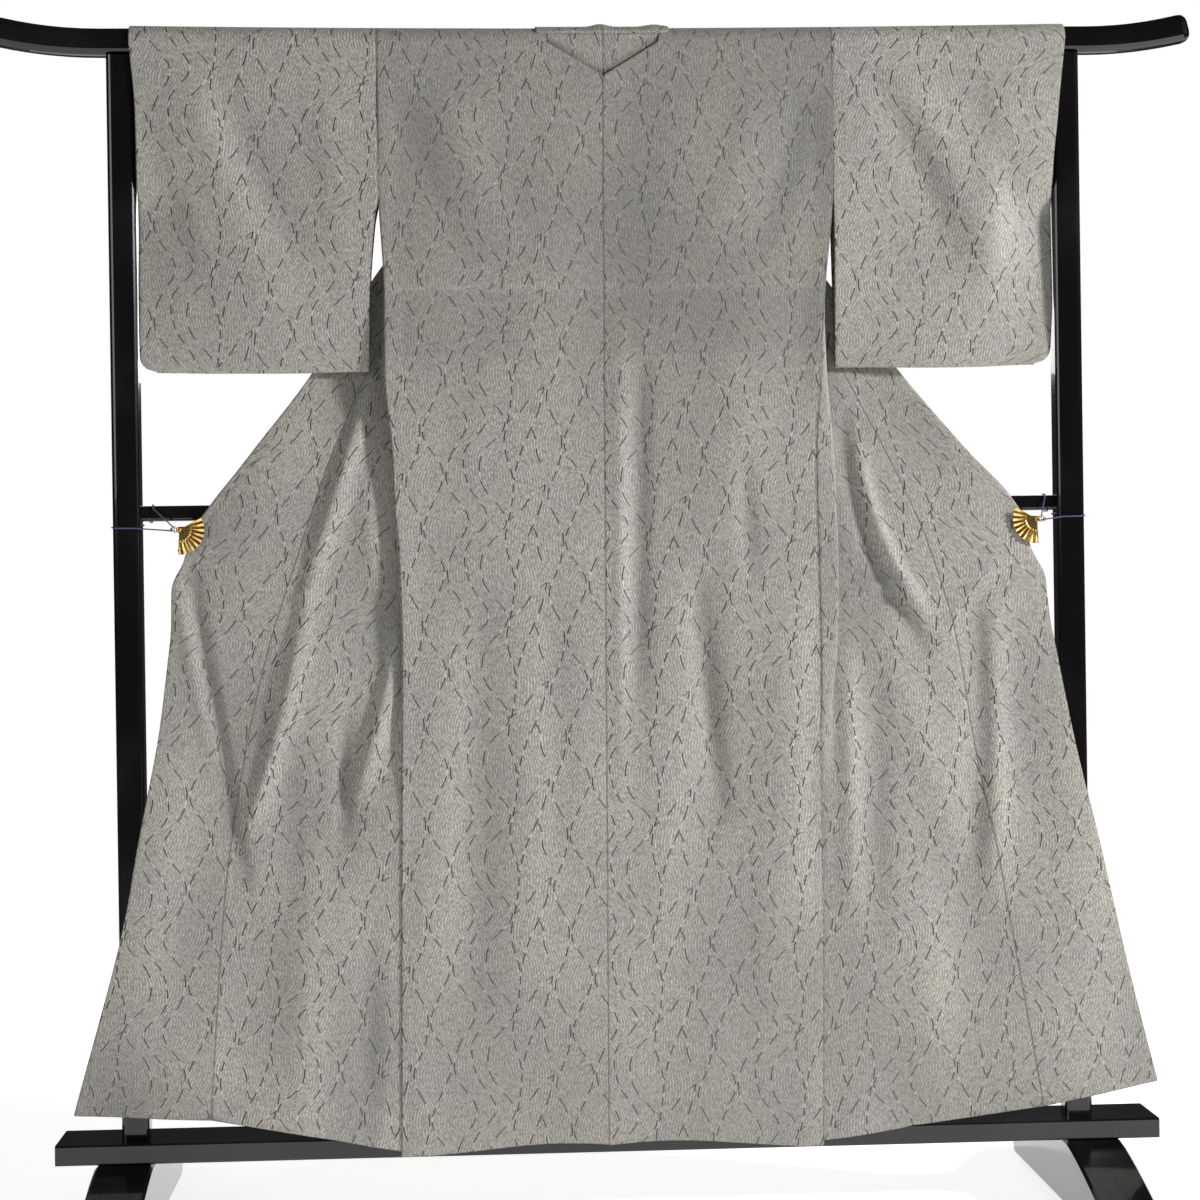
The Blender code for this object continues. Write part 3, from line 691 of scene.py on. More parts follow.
@dataclass
class Patch:
    """A grid of one stretch of cloth with what its finish reads.

    points is rows x columns x 3.  across and along are the place in the flat
    cloth, seam the distance to the nearest seam, near which the silk paints the
    shade of a seam's groove, and shade how much painted shade darkens the cloth;
    each is rows x columns.  jumps shifts "along" for the faces above each row,
    where a tuck has taken some of the cloth up.  facing is the sign that turns
    the grid's cross product outward.
    """

    points: Array
    across: Array
    along: Array
    seam: Array
    shade: Array
    facing: float = 1.0
    jumps: Array | None = None

    def normals(self) -> Array:
        """Unit cross products of the grid's two directions, turned outward."""
        crossed = np.cross(np.gradient(self.points, axis=1), np.gradient(self.points, axis=0))
        size = np.linalg.norm(crossed, axis=-1, keepdims=True)
        return self.facing * crossed / np.maximum(size, 1e-12)

    def rows(self, first: int | None, last: int | None) -> "Patch":
        """The same patch with only some of its rows.

        Args:
            first: Its first row, or none for the grid's own.
            last: The row past its last, or none for the grid's own.

        Returns:
            The smaller patch, without jumps.
        """
        part = slice(first, last)
        grids = [grid[part] for grid in (self.points, self.across, self.along, self.seam, self.shade)]
        return Patch(*grids, self.facing)

    def turned(self, edge: Edge, radius: float = 0.0011, reach: float = 110.0) -> "Patch":
        """Makes the strip that turns an edge under.

        Args:
            edge: Which edge of the grid.
            radius: Radius of the turn.
            reach: How far round it goes, in degrees.

        Returns:
            A grid that starts on the edge and follows an arc away from the
            outward side: out by the sine of the turn, in by one less its cosine.
        """
        axis, end = edge.value
        inner = 1 if end == 0 else -2
        place = self.points.take(end, axis)
        out = place - self.points.take(inner, axis)
        out = out / np.maximum(np.linalg.norm(out, axis=-1, keepdims=True), 1e-12)
        normal = self.normals().take(end, axis)
        turns = np.radians(np.linspace(0.0, reach, 5))
        strips = [place + radius * (out * math.sin(t) - normal * (1.0 - math.cos(t))) for t in turns]
        points = np.stack(strips, axis=1)
        flat = [np.repeat(grid.take(end, axis)[:, None], len(turns), axis=1)
                for grid in (self.across, self.along, self.shade)]
        # A seam distance of nought paints the whole turned strip with the silk's full seam shade.
        return Patch(points, flat[0], flat[1], np.zeros(points.shape[:2]), flat[2])


def quads(rows: int, columns: int) -> Array:
    """Corner numbers of the faces of a grid."""
    start = (np.arange(rows - 1)[:, None] * columns + np.arange(columns - 1)).ravel()
    return np.stack((start, start + 1, start + columns + 1, start + columns), axis=1)


def link(name: str, mesh: bpy.types.Mesh, material: bpy.types.Material) -> bpy.types.Object:
    """Puts a finished mesh into the scene as a smooth object with one material.

    Args:
        name: Name of the object.
        mesh: Its mesh, with its place already in it.
        material: Its only material.

    Returns:
        The object, at the origin.
    """
    mesh.shade_smooth()
    mesh.materials.append(material)
    made = bpy.data.objects.new(name, mesh)
    bpy.context.scene.collection.objects.link(made)
    return made


def cloth_mesh(name: str, patches: Sequence[Patch]) -> bpy.types.Mesh:
    """Joins patches into one sheet with its map "cloth" and its two attributes.

    Args:
        name: Name of the mesh.
        patches: Grids that meet point on point where they join.

    Returns:
        The mesh, its doubled points merged and its faces turned one way.
    """
    points, faces, maps, seams, shades = [], [], [], [], []
    total = 0
    for patch in patches:
        rows, columns = patch.across.shape
        corners = quads(rows, columns)
        shift = np.zeros(rows - 1) if patch.jumps is None else patch.jumps
        shift = np.repeat(shift, columns - 1)[:, None]
        along = patch.along.ravel()[corners] + shift
        maps.append(np.stack((patch.across.ravel()[corners], along), axis=-1).reshape(-1, 2))
        faces.append(corners + total)
        points.append(patch.points.reshape(-1, 3))
        seams.append(patch.seam.ravel())
        shades.append(patch.shade.ravel())
        total += rows * columns
    mesh = bpy.data.meshes.new(name)
    mesh.from_pydata(np.concatenate(points).tolist(), [], np.concatenate(faces).tolist())
    layer = mesh.uv_layers.new(name="cloth")
    layer.uv.foreach_set("vector", np.concatenate(maps).astype(np.float32).ravel())
    # seam places the silk's painted seam shade; shade is the share of painted shade.
    for label, values in (("seam", seams), ("shade", shades)):
        attribute = mesh.attributes.new(label, "FLOAT", "POINT")
        attribute.data.foreach_set("value", np.concatenate(values).astype(np.float32))
    work = bmesh.new()
    work.from_mesh(mesh)
    bmesh.ops.remove_doubles(work, verts=work.verts, dist=1e-5)
    bmesh.ops.recalc_face_normals(work, faces=work.faces)
    work.to_mesh(mesh)
    work.free()
    return mesh


def sheet_of_silk(name: str, node: str, patches: Sequence[Patch], silk: bpy.types.Material) -> bpy.types.Object:
    """Makes one length of cloth that replaces its CAD node.

    Args:
        name: The new piece's name.
        node: The CAD node it stands for.
        patches: Its grids.
        silk: Its material.

    Returns:
        The piece, a thin shell whose middle is the grids.
    """
    piece = link(name, cloth_mesh(name, patches), silk)
    wall = piece.modifiers.new("shell", "SOLIDIFY")
    wall.thickness = CUT.shell
    wall.offset = 0.0
    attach(piece, BODY)
    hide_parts(node)
    log.info("%s: %d faces", name, len(piece.data.polygons))
    return piece


# ---------------------------------------------------------------------- garment
FRONT_COLUMNS = ("level", "seam", "okumi", "width", "flap", "outward", "turn", "rear")
LEFT_FRONT = Table(FRONT_COLUMNS, (
    (0.103, 0.305, 0.577, 0.272, 0.194, 0.000, -0.0553, -0.0553),
    (0.460, 0.300, 0.552, 0.252, 0.133, 0.000, -0.0467, -0.0467),
    (0.650, 0.297, 0.525, 0.230, 0.126, 0.002, -0.0365, -0.0310),
    (0.820, 0.294, 0.487, 0.252, 0.142, 0.006, -0.0310, -0.0245),
    (0.960, 0.297, 0.443, 0.256, 0.173, 0.007, -0.0275, -0.0215),
    (1.030, 0.302, 0.420, 0.257, 0.149, 0.006, -0.0240, -0.0175),
    (1.100, 0.304, 0.396, 0.256, 0.118, 0.005, -0.0205, -0.0130),
    (1.225, 0.314, 0.343, 0.252, 0.077, 0.004, -0.0120, 0.0030),
    (1.345, 0.313, 0.284, 0.250, 0.058, 0.000, 0.0010, 0.0120),
    (1.490, 0.319, 0.222, 0.247, 0.018, 0.000, 0.0200, 0.0290),
    (1.600, 0.319, 0.145, 0.246, 0.012, 0.000, 0.0242, 0.0350),
    (1.646, 0.319, 0.107, 0.243, 0.012, 0.000, 0.0242, 0.0350),
    (1.708, 0.319, 0.078, 0.241, 0.012, 0.000, 0.0242, 0.0350),
))
RIGHT_FRONT = Table(FRONT_COLUMNS, (
    (0.103, 0.304, 0.628, 0.324, 0.169, 0.000, -0.0553, -0.0553),
    (0.460, 0.310, 0.573, 0.263, 0.149, 0.000, -0.0467, -0.0467),
    (0.650, 0.310, 0.540, 0.234, 0.146, 0.010, -0.0365, -0.0310),
    (0.820, 0.312, 0.515, 0.254, 0.142, 0.034, -0.0310, -0.0245),
    (0.960, 0.311, 0.476, 0.257, 0.161, 0.040, -0.0275, -0.0215),
    (1.030, 0.310, 0.449, 0.258, 0.149, 0.040, -0.0240, -0.0175),
    (1.100, 0.310, 0.417, 0.257, 0.119, 0.038, -0.0205, -0.0130),
    (1.225, 0.320, 0.356, 0.253, 0.081, 0.018, -0.0120, 0.0030),
    (1.345, 0.328, 0.296, 0.251, 0.047, 0.006, 0.0010, 0.0120),
    (1.490, 0.341, 0.228, 0.249, 0.018, 0.000, 0.0200, 0.0290),
    (1.600, 0.342, 0.157, 0.249, 0.012, 0.000, 0.0242, 0.0350),
    (1.646, 0.342, 0.124, 0.249, 0.012, 0.000, 0.0242, 0.0350),
    (1.708, 0.342, 0.094, 0.248, 0.012, 0.000, 0.0242, 0.0350),
))
SLEEVE_COLUMNS = ("level", "inner", "outer", "near", "far")
LEFT_SLEEVE = Table(SLEEVE_COLUMNS, (
    (1.231, 0.339, 0.665, -0.0140, -0.0060),
    (1.250, 0.338, 0.666, -0.0150, -0.0045),
    (1.340, 0.336, 0.667, -0.0190, 0.0080),
    (1.443, 0.328, 0.666, -0.0225, 0.0205),
    (1.490, 0.3205, 0.666, -0.0242, 0.0242),
    (1.600, 0.3205, 0.667, -0.0242, 0.0242),
    (1.708, 0.3205, 0.675, -0.0242, 0.0242),
))
RIGHT_SLEEVE = Table(SLEEVE_COLUMNS, (
    (1.231, 0.345, 0.660, -0.0140, -0.0060),
    (1.250, 0.345, 0.662, -0.0150, -0.0045),
    (1.340, 0.345, 0.667, -0.0190, 0.0080),
    (1.443, 0.345, 0.667, -0.0225, 0.0205),
    (1.490, 0.3435, 0.666, -0.0242, 0.0242),
    (1.600, 0.3435, 0.676, -0.0242, 0.0242),
    (1.708, 0.3435, 0.688, -0.0242, 0.0242),
))


@dataclass(frozen=True)
class Front:
    """The form of one front: how its sections fold and how its hem rises."""

    side: Side
    table: Table
    okumi_rise: float
    edge_rise: float
    folds: tuple[Crease | Sway, ...] = ()

    def section(self, level: Array) -> dict[str, Array]:
        """Reads the table at many levels and works out each section's fold.

        Args:
            level: Heights, one for each row.

        Returns:
            Columns of the section's sizes.  The inward run is halved in on
            until the panel's width ends at the overlap's seam.
        """
        row = {name: self.table.read(name, level)[:, None] for name in FRONT_COLUMNS}
        level = level[:, None]
        sewn = smooth_step((CUT.armhole - level) / (CUT.armhole - CUT.underarm))
        row["start"] = (CUT.back_depth(level) + CUT.lap) * sewn + CUT.hang * (1.0 - sewn)
        row["first"] = row["outward"] - 1.5 * CUT.soft * (1.0 - sewn)
        row["folded"] = smooth_step((level - 0.55) / 0.2)
        row["width"] = np.maximum(row["width"], row["okumi"] - row["seam"])
        least, most = np.zeros_like(level), np.full_like(level, 0.5)
        for _ in range(30):
            row["inward"] = (least + most) / 2
            wide = self.place(row, row["width"])[0] > row["okumi"]
            least = np.where(wide, row["inward"], least)
            most = np.where(wide, most, row["inward"])
        return row

    def place(self, row: dict[str, Array], s: Array) -> tuple[Array, Array]:
        """Place across and depth at lengths s round the sections.

        The way across is s less twice a soft ramp at the first turn plus twice
        one at the second; the depth steps back softly at each turn.

        Args:
            row: The sections' sizes.
            s: Lengths round them, rows x columns.

        Returns:
            The places across and the depths.
        """
        second = row["first"] + row["inward"]

        def bend(turn: Array) -> Array:
            """A soft ramp from a turn that is zero where the section starts."""
            return soft_ramp(s - turn, CUT.soft) - soft_ramp(-turn, CUT.soft)

        across = row["seam"] + s - 2.0 * bend(row["first"]) + 2.0 * bend(second)
        depth = row["start"]
        depth = depth + (row["turn"] - depth) * soft_step(s - row["first"] - 0.004, CUT.soft)
        depth = depth + (row["rear"] - row["turn"]) * soft_step(s - second, CUT.soft)
        flat = row["start"] + (row["rear"] - row["start"]) * smooth_step(s / 0.10)
        return across, depth * row["folded"] + flat * (1.0 - row["folded"])

    def lift(self, level: Array, share: Array) -> Array:
        """Rise of the threads toward the front edge, fading out up the panel.

        Args:
            level: Heights, in a column.
            share: Zero at the side seam, one at the overlap's and two at the edge.

        Returns:
            The rise in metres, even in share on either side of the seam.
        """
        fade = np.clip(1.0 - (level - CUT.hem) / 1.1, 0.0, 1.0) ** 1.5
        rise = self.okumi_rise * np.clip(share, 0.0, 1.0)
        return (rise + (self.edge_rise - self.okumi_rise) * np.clip(share - 1.0, 0.0, 1.0)) * fade

    def points(self, level: Array, s: Array, shares: Array, behind: float = 0.0) -> Array:
        """Points of the front in space.

        Args:
            level: Heights, one for each row.
            s: Lengths round the section, rows x columns.
            shares: Zero at the side seam, one at the overlap's and two at the edge.
            behind: How far the points are moved off the section to its rear.

        Returns:
            Rows x columns x 3, with the folds pushed only into the outer run.
        """
        row = self.section(level)
        across, depth = self.place(row, s)
        ahead = self.place(row, s + 0.0003)
        stride = np.hypot(ahead[0] - across, ahead[1] - depth)
        turned = behind * (ahead[1] - depth) / stride
        depth = depth + behind * (ahead[0] - across) / stride
        across = across - turned
        level = level[:, None]
        high = rising(level, CUT.armhole, CUT.bar - CUT.armhole)
        height = level + self.lift(level, shares) + (CUT.bar_level(across) - CUT.bar) * high
        sign = self.side.value
        outer = soft_step(s - row["first"] - row["inward"] - 0.010, 0.008) * smooth_step(s / 0.05)
        depth = depth - pushed(self.folds, sign * across, height) * outer * (1.0 - high)
        return np.stack((sign * across, depth, height), axis=-1)


def crowded(row: dict[str, Array], columns: int, crowding: float = 0.009) -> Array:
    """Lengths round each section that crowd together at its two turns.

    The spacing is one over one plus five bell curves of the distance to a turn.

    Args:
        row: The sections' sizes.
        columns: How many lengths each section gets.
        crowding: Width of the bell curves.

    Returns:
        Lengths from zero to the section's width, rows x columns.
    """
    fine = np.linspace(0.0, 1.0, 401)
    s = row["width"] * fine
    crowd = np.ones_like(s)
    for place in (row["first"], row["first"] + row["inward"]):
        crowd = crowd + 5.0 * np.exp(-(((s - place) / crowding) ** 2))
    total = np.cumsum((crowd[:, 1:] + crowd[:, :-1]) / 2, axis=1)
    total = np.concatenate((np.zeros((len(s), 1)), total), axis=1)
    wanted = np.linspace(0.0, 1.0, columns)
    return np.stack([np.interp(wanted * t[-1], t, line) for t, line in zip(total, s)])


@dataclass(frozen=True)
class BodyPanel:
    """One body panel: back, shoulder and front in a single length of cloth."""

    side: Side
    front: Front
    silk: bpy.types.Material
    folds: tuple[Crease | Sway, ...] = ()
    inner_columns: int = 22
    outer_columns: int = 72
    bend: float = 1.600
    tuck_shift: float = 0.061
    hem_dip: float = 0.0075
    # Shares of painted shade: over the tuck's double band, on the upper back, toward the hem and in the troughs
    # of the back and of the fronts.
    painted_band_shade: float = 0.085
    painted_upper_back_shade: float = 0.27
    painted_hem_shade: float = 0.22
    painted_trough_shade: float = 0.20
    painted_front_trough_shade: float = 0.30

    def back_levels(self) -> Array:
        """Levels of the back's rows, close together at the tuck."""
        lower = np.linspace(CUT.hem, CUT.tuck - 0.0006, 138)
        upper = np.linspace(CUT.tuck + 0.0006, self.bend, 28)
        return np.concatenate((lower, upper, np.linspace(self.bend, CUT.bar, 13)[1:]))

    def neck(self) -> float:
        """How far the neck's corner lies from the rack's middle on this side."""
        return CUT.neck_half + self.side.value * CUT.centre

    def back(self, across: Array, level: Array, top: Array) -> Array:
        """Points of the back: its depth, its tuck's step and its folds.

        Args:
            across: Distance from the rack's middle, rows x columns.
            level: Levels of the rows, in a column.
            top: Level at which each column ends.

        Returns:
            Rows x columns x 3; above the bend the levels are stretched to the
            top, below it the hem dips toward its middle and its outer end.
        """
        rise = np.clip((level - self.bend) / (CUT.bar - self.bend), 0.0, 1.0)
        height = np.where(level > self.bend, self.bend + (top - self.bend) * rise, level)
        fall = np.clip(1.0 - (level - CUT.hem) / 0.5, 0.0, 1.0) ** 2
        height = height + self.hem_dip * (np.cos((across - 0.075) / 0.23 * math.pi) - 0.1) / 1.1 * fall
        edge = self.front.table.read("seam", level[:, 0])[:, None]
        free = smooth_step((edge - across) / 0.03) * (1.0 - rising(level, 1.62, 0.08))
        sign = self.side.value
        push = pushed(self.folds, sign * across, height) * free
        push = push + 0.0012 * (level > CUT.tuck)
        depth = CUT.back_depth(height) - push * (1.0 - rising(level, 1.60, 0.08))
        return np.stack((sign * across, depth, height), axis=-1)

    def shade(self, x: Array, level: Array) -> Array:
        """Painted shade on the back: over the tuck's double band, on the upper back, toward the hem and in the
        troughs.

        Args:
            x: Places across.
            level: Their levels.

        Returns:
            The sum of them all and of a slow slanting wave, kept from zero to one.
        """
        # Painted shade: a band over the tuck's double layer, the upper back, the hem, the folds' troughs and a
        # slow slanting wave.
        band = ((level < CUT.tuck) & (level > CUT.tuck_end)) * self.painted_band_shade
        high = rising(level, 1.00, 0.45) * (self.painted_upper_back_shade + 0.10 * rising(x, -0.05, 0.15))
        low = (1.0 - rising(level, 0.12, 0.55)) * self.painted_hem_shade + 0.06 * rising(x, 0.0, 0.1)
        slant = 0.05 * np.sin((x * 1.3 + level) * 6.0) * rising(level, 0.9, 0.4)
        valley = self.painted_trough_shade * hollowed(self.folds, x, level, 0.006, 0.6)
        valley = valley * (1.0 - rising(level, 1.60, 0.08))
        return np.clip(band + high + low + valley + slant, 0.0, 1.0)

    def patches(self) -> list[Patch]:
        """The outer grid that goes over the bar, the one below the neck, and turned edges."""
        sign = self.side.value
        level = self.back_levels()[:, None]
        seam = self.front.table.read("seam", level[:, 0])[:, None]
        neck = self.neck() * (0.6 + 0.4 * level / CUT.bar)
        steps = np.linspace(0.0, 1.0, self.outer_columns)
        across = neck + (seam - neck) * steps
        back = self.back(across, level, CUT.bar_level(across))
        down = np.linspace(CUT.bar, CUT.hem, 150)
        row = self.front.section(down)
        s = crowded(row, self.outer_columns)[:, ::-1]
        front = self.front.points(down, s, s / row["width"])
        over = over_bar(back[-1], front[0])
        width = float(seam[-1, 0]) - sign * CUT.centre
        top = CUT.bar + math.pi * CUT.hang
        points = np.concatenate((back, over, front))
        u_back = sign * (across - sign * CUT.centre)
        u_front = sign * (width - s)
        u_over = np.repeat(u_back[-1:], len(over), axis=0)
        v_over = CUT.bar + CUT.hang * np.repeat(HALF_TURN, self.outer_columns, axis=1)
        flat = np.concatenate((u_back, u_over, u_front))
        v_front = np.repeat((top + CUT.bar - down)[:, None], self.outer_columns, axis=1)
        along = np.concatenate((back[..., 2], v_over, v_front))
        # Painted shade of the back, of the turn over the bar and of the front.
        dark_back = self.shade(back[..., 0], level)
        dark_front = self.front_shade(row, s, front)
        dark_over = np.repeat(dark_back[-1:], len(over), axis=0)
        shade = np.concatenate((dark_back, dark_over, dark_front))
        off_side = seam - across
        off_front = np.minimum(s + 0.01, row["width"] - s)
        gaps = np.concatenate((off_side, np.repeat(off_side[-1:], len(over), axis=0), off_front))
        jumps = np.full(len(points) - 1, self.tuck_shift)
        jumps[:len(level) - 1][level[1:, 0] <= CUT.tuck] = 0.0
        outer = Patch(points, flat, along, gaps, shade, sign, jumps)
        inner = self.below_neck(level, neck)
        backs, fronts = len(level), len(points) - len(down)
        return [
            outer, inner,
            outer.turned(Edge.FIRST_ROW), outer.turned(Edge.LAST_ROW),
            inner.turned(Edge.FIRST_ROW), inner.turned(Edge.LAST_ROW),
            inner.turned(Edge.LAST_COLUMN),
            outer.rows(0, fronts + 1).turned(Edge.LAST_COLUMN),
            outer.rows(backs - 1, None).turned(Edge.FIRST_COLUMN),
        ]

    def below_neck(self, level: Array, neck: Array) -> Patch:
        """The grid between the neck and the centre seam, its top along the neck's slant.

        Args:
            level: Levels of the rows, in a column.
            neck: Where each row starts, in a column.

        Returns:
            The grid, with a slight rim that swells along the neck as a bell curve.
        """
        sign = self.side.value
        share = np.linspace(0.0, 1.0, self.inner_columns)
        centre = sign * CUT.centre * (2.0 * level / CUT.bar - 1.0) + CUT.gap / 2
        across = neck + (centre - neck) * share
        corner = CUT.bar_level(neck[-1, 0])
        top = corner + (CUT.neck_point - corner) * share
        points = self.back(across, level, top[None, :])
        rim = np.exp(-(((level - CUT.bar) / 0.020) ** 2)) * 0.0016 * share
        points[..., 1] -= rim
        jumps = np.where(level[1:, 0] > CUT.tuck, self.tuck_shift, 0.0)
        return Patch(points, sign * (across - sign * CUT.centre), points[..., 2], across - centre,
                     self.shade(points[..., 0], level), -sign, jumps)

    def front_shade(self, row: dict[str, Array], s: Array, points: Array) -> Array:
        """Painted shade on a front: in its fold behind the back, in its troughs, near its side seam, at its hem
        and higher up.

        Args:
            row: The sections' sizes.
            s: Lengths round them, rows x columns.
            points: The front's points.

        Returns:
            The sum of them all, kept from zero to one.
        """
        second = row["first"] + row["inward"]
        # Painted shade in the fold that turns in behind the back, in the troughs, near the side seam, at the
        # hem and higher up.
        deep = np.exp(-(((s - second) / 0.022) ** 2)) * row["folded"] * 0.14
        x, level = points[..., 0], points[..., 2]
        valley = self.painted_front_trough_shade * hollowed(self.front.folds, x, level, 0.009, 0.7)
        low = 0.06 + (0.04 if self.side is Side.LEFT else 0.18) * (1.0 - rising(level, 0.15, 0.5))
        near = 0.12 * np.exp(-(((np.abs(x) - 0.345) / 0.08) ** 2))
        return np.clip(deep + valley + near + low + 0.08 * rising(level, 1.0, 0.5), 0.0, 1.0)

    def build(self) -> bpy.types.Object:
        """Makes the panel, cut 0.32 by 3.27 m with half the neck taken out."""
        node = f"body_{self.side.word}"
        return sheet_of_silk(f"{node}_cloth", node, self.patches(), self.silk)


@dataclass(frozen=True)
class OkumiPanel:
    """The overlap panel of one front, from the hem to its point."""

    side: Side
    front: Front
    silk: bpy.types.Material
    tip: float = 1.470
    collar: float = 0.012
    collar_end: float = 0.950
    columns: int = 30
    painted_trough_shade: float = 0.26

    def build(self) -> bpy.types.Object:
        """Makes the panel: columns shared evenly between its seam and its edge."""
        sign = self.side.value
        level = np.linspace(self.tip, CUT.hem, 150)
        row = self.front.section(level)
        shown = self.collar * rising(level[:, None], self.collar_end - 0.045, 0.045)
        inner = row["width"] + CUT.gap
        outer = row["width"] + row["flap"] - shown
        s = inner + (outer - inner) * np.linspace(0.0, 1.0, self.columns)
        shares = np.repeat(1.0 + np.linspace(0.0, 1.0, self.columns)[None, :], len(level), axis=0)
        points = self.front.points(level, s, shares)
        x, height = points[..., 0], points[..., 2]
        # Painted shade: in the troughs, toward the hem, and a little more higher up.
        valley = hollowed(self.front.folds, x, height, 0.009, 0.7)
        low = (0.20 if self.side is Side.LEFT else 0.13) * (1.0 - rising(height, 0.15, 0.5))
        shade = np.clip(0.10 + low + self.painted_trough_shade * valley + 0.08 * rising(height, 1.0, 0.4), 0.0, 1.0)
        along = np.repeat(-level[:, None], self.columns, axis=1)
        patch = Patch(points, -sign * (s + 0.07), along + 0.05, s - inner, shade, -sign)
        edges = [patch.turned(edge) for edge in Edge]
        node = f"okumi_{self.side.word}"
        return sheet_of_silk(f"{node}_cloth", node, [patch, *edges], self.silk)


@dataclass(frozen=True)
class FrontCollar:
    """The collar down one front edge, its other half folded under."""

    side: Side
    front: Front
    silk: bpy.types.Material
    start: float = 1.642
    folds: float = 1.560
    end: float = 0.950
    shown: float = 0.012
    under: float = 0.043
    behind: float = 0.0058

    def build(self) -> bpy.types.Object:
        """Makes the collar: a shown run, a round edge and the run folded under."""
        sign = self.side.value
        level = np.linspace(self.start, self.end + 0.014, 90)
        row = self.front.section(level)
        begin = row["width"] + row["flap"] - self.shown + CUT.gap
        tuck = self.under * (1.0 - 0.85 * rising(level[:, None], 1.33, 0.22))
        shares = np.full((len(level), 6), 2.0)
        shown = self.front.points(level, begin + self.shown * np.linspace(0.0, 1.0, 6), shares)
        under = begin + self.shown - 0.001 - tuck * np.linspace(0.0, 1.0, 6)
        behind = self.front.points(level, under, shares, self.behind)
        turn = np.linspace(0.0, math.pi, 6)[1:-1, None]
        middle = (shown[:, -1:] + behind[:, :1]) / 2
        half = (shown[:, -1:] - behind[:, :1]) / 2
        out = shown[:, -1:] - shown[:, -2:-1]
        out = out / np.linalg.norm(out, axis=-1, keepdims=True) * self.behind / 2
        bend = middle + half * np.cos(turn)[None] + out * np.sin(turn)[None]
        folded = level < self.folds
        keep = int(np.argmax(folded))
        lap = np.concatenate((shown[keep:, -1:], bend[keep:], behind[keep:]), axis=1)
        patches = [self.patch(shown, level, sign), self.patch(lap, level[keep:], sign)]
        patches.append(patches[0].turned(Edge.FIRST_COLUMN))
        node = f"collar_{self.side.word}"
        return sheet_of_silk(f"{node}_cloth", node, patches, self.silk)

    def patch(self, points: Array, level: Array, sign: float) -> Patch:
        """A grid of the collar, its cloth running along its length.

        Args:
            points: Rows x columns x 3.
            level: Levels of the rows.
            sign: The side's sign.

        Returns:
            The patch, its place across being the length round each row.
        """
        steps = np.linalg.norm(np.diff(points, axis=1), axis=-1)
        across = np.concatenate((np.zeros((len(points), 1)), np.cumsum(steps, axis=1)), axis=1)
        along = np.repeat(level[:, None], points.shape[1], axis=1)
        # A light even painted shade.
        shade = np.full(across.shape, 0.06)
        return Patch(points, across * sign, along, across + 0.002, shade, -sign)


@dataclass(frozen=True)
class NeckCollar:
    """The collar across the back neck, with its fold, its seam and its top edge."""

    silk: bpy.types.Material
    fold: float = 1.7168
    tuck: float = 0.006
    inset: float = 0.0034
    proud: float = 0.0022
    wider: float = 0.20

    def build(self) -> bpy.types.Object:
        """Makes the collar: a straight rise inside the neck, then an arc over the bar.

        Above its fold it is wider than the neck and lies on the shoulders, with
        two soft bumps where its layers are pinched: bell curves of the place.
        """
        offset = np.linspace(-1.0, 1.0, 73)[:, None] * (CUT.neck_half - 0.001)
        x = CUT.centre + offset
        middle = CUT.bar_level(x)
        slant = CUT.neck_point + (middle - CUT.neck_point) * np.abs(offset) / CUT.neck_half
        share = np.linspace(0.0, 1.0, 28)
        rise = CUT.hang * 0.5
        height = slant - self.tuck + (middle + rise - slant + self.tuck) * share
        groove = 0.0012 * np.exp(-(((x - CUT.centre) / 0.0014) ** 2))
        depth = -(CUT.hang - self.inset) + groove + 0.0007 * np.cos(x * 90.0) * (1.0 - share)
        lower = np.stack((np.repeat(x, len(share), axis=1), depth, height), axis=-1)
        turn = np.radians(np.linspace(33.0, 180.0, 44))
        level = middle + CUT.hang * np.sin(turn)
        above = smooth_step((level - self.fold + 0.0012) / 0.0024)
        above = np.where(turn > 0.5 * math.pi, 1.0, above)
        bump = 0.0040 * np.exp(-(((offset + 0.002) / 0.011) ** 2))
        bump = bump + 0.0032 * np.exp(-(((offset - 0.064) / 0.013) ** 2))
        radius = CUT.hang + (self.proud + self.inset + bump * np.sin(turn) ** 2) * above - self.inset
        wide = CUT.centre + offset * (1.0 + self.wider * above)
        upper = np.stack((wide, -radius * np.cos(turn), middle + radius * np.sin(turn)), axis=-1)
        last = upper[:, -1:] + np.array((0.0, 0.0, -0.014))
        points = np.concatenate((lower, upper, last), axis=1)
        run = np.linalg.norm(np.diff(points, axis=1), axis=-1)
        along = np.concatenate((np.zeros((len(x), 1)), np.cumsum(run, axis=1)), axis=1)
        across = np.repeat(offset, points.shape[1], axis=1)
        # Distance to the centre seam, and to the fold on the near side, for the silk's painted seam shade.
        off_fold = np.abs(points[..., 2] - self.fold) + 0.05 * (points[..., 1] > -0.010)
        line = np.minimum(np.abs(across), off_fold)
        # Painted shade: 0.18 all over, and up to 0.45 more in the recess just above the back's V-shaped neck
        # edge.
        edge = np.clip((points[..., 2] - slant) / 0.020, 0.0, 1.0)
        shade = 0.18 + 0.45 * (1.0 - smooth_step(edge)) * (points[..., 1] < 0.0)
        patch = Patch(points, across + 0.11, along + 0.03, line + 0.0003, shade)
        patches = [patch, patch.turned(Edge.FIRST_COLUMN), patch.turned(Edge.LAST_COLUMN)]
        node = "collar_neck"
        return sheet_of_silk(f"{node}_cloth", node, patches, self.silk)


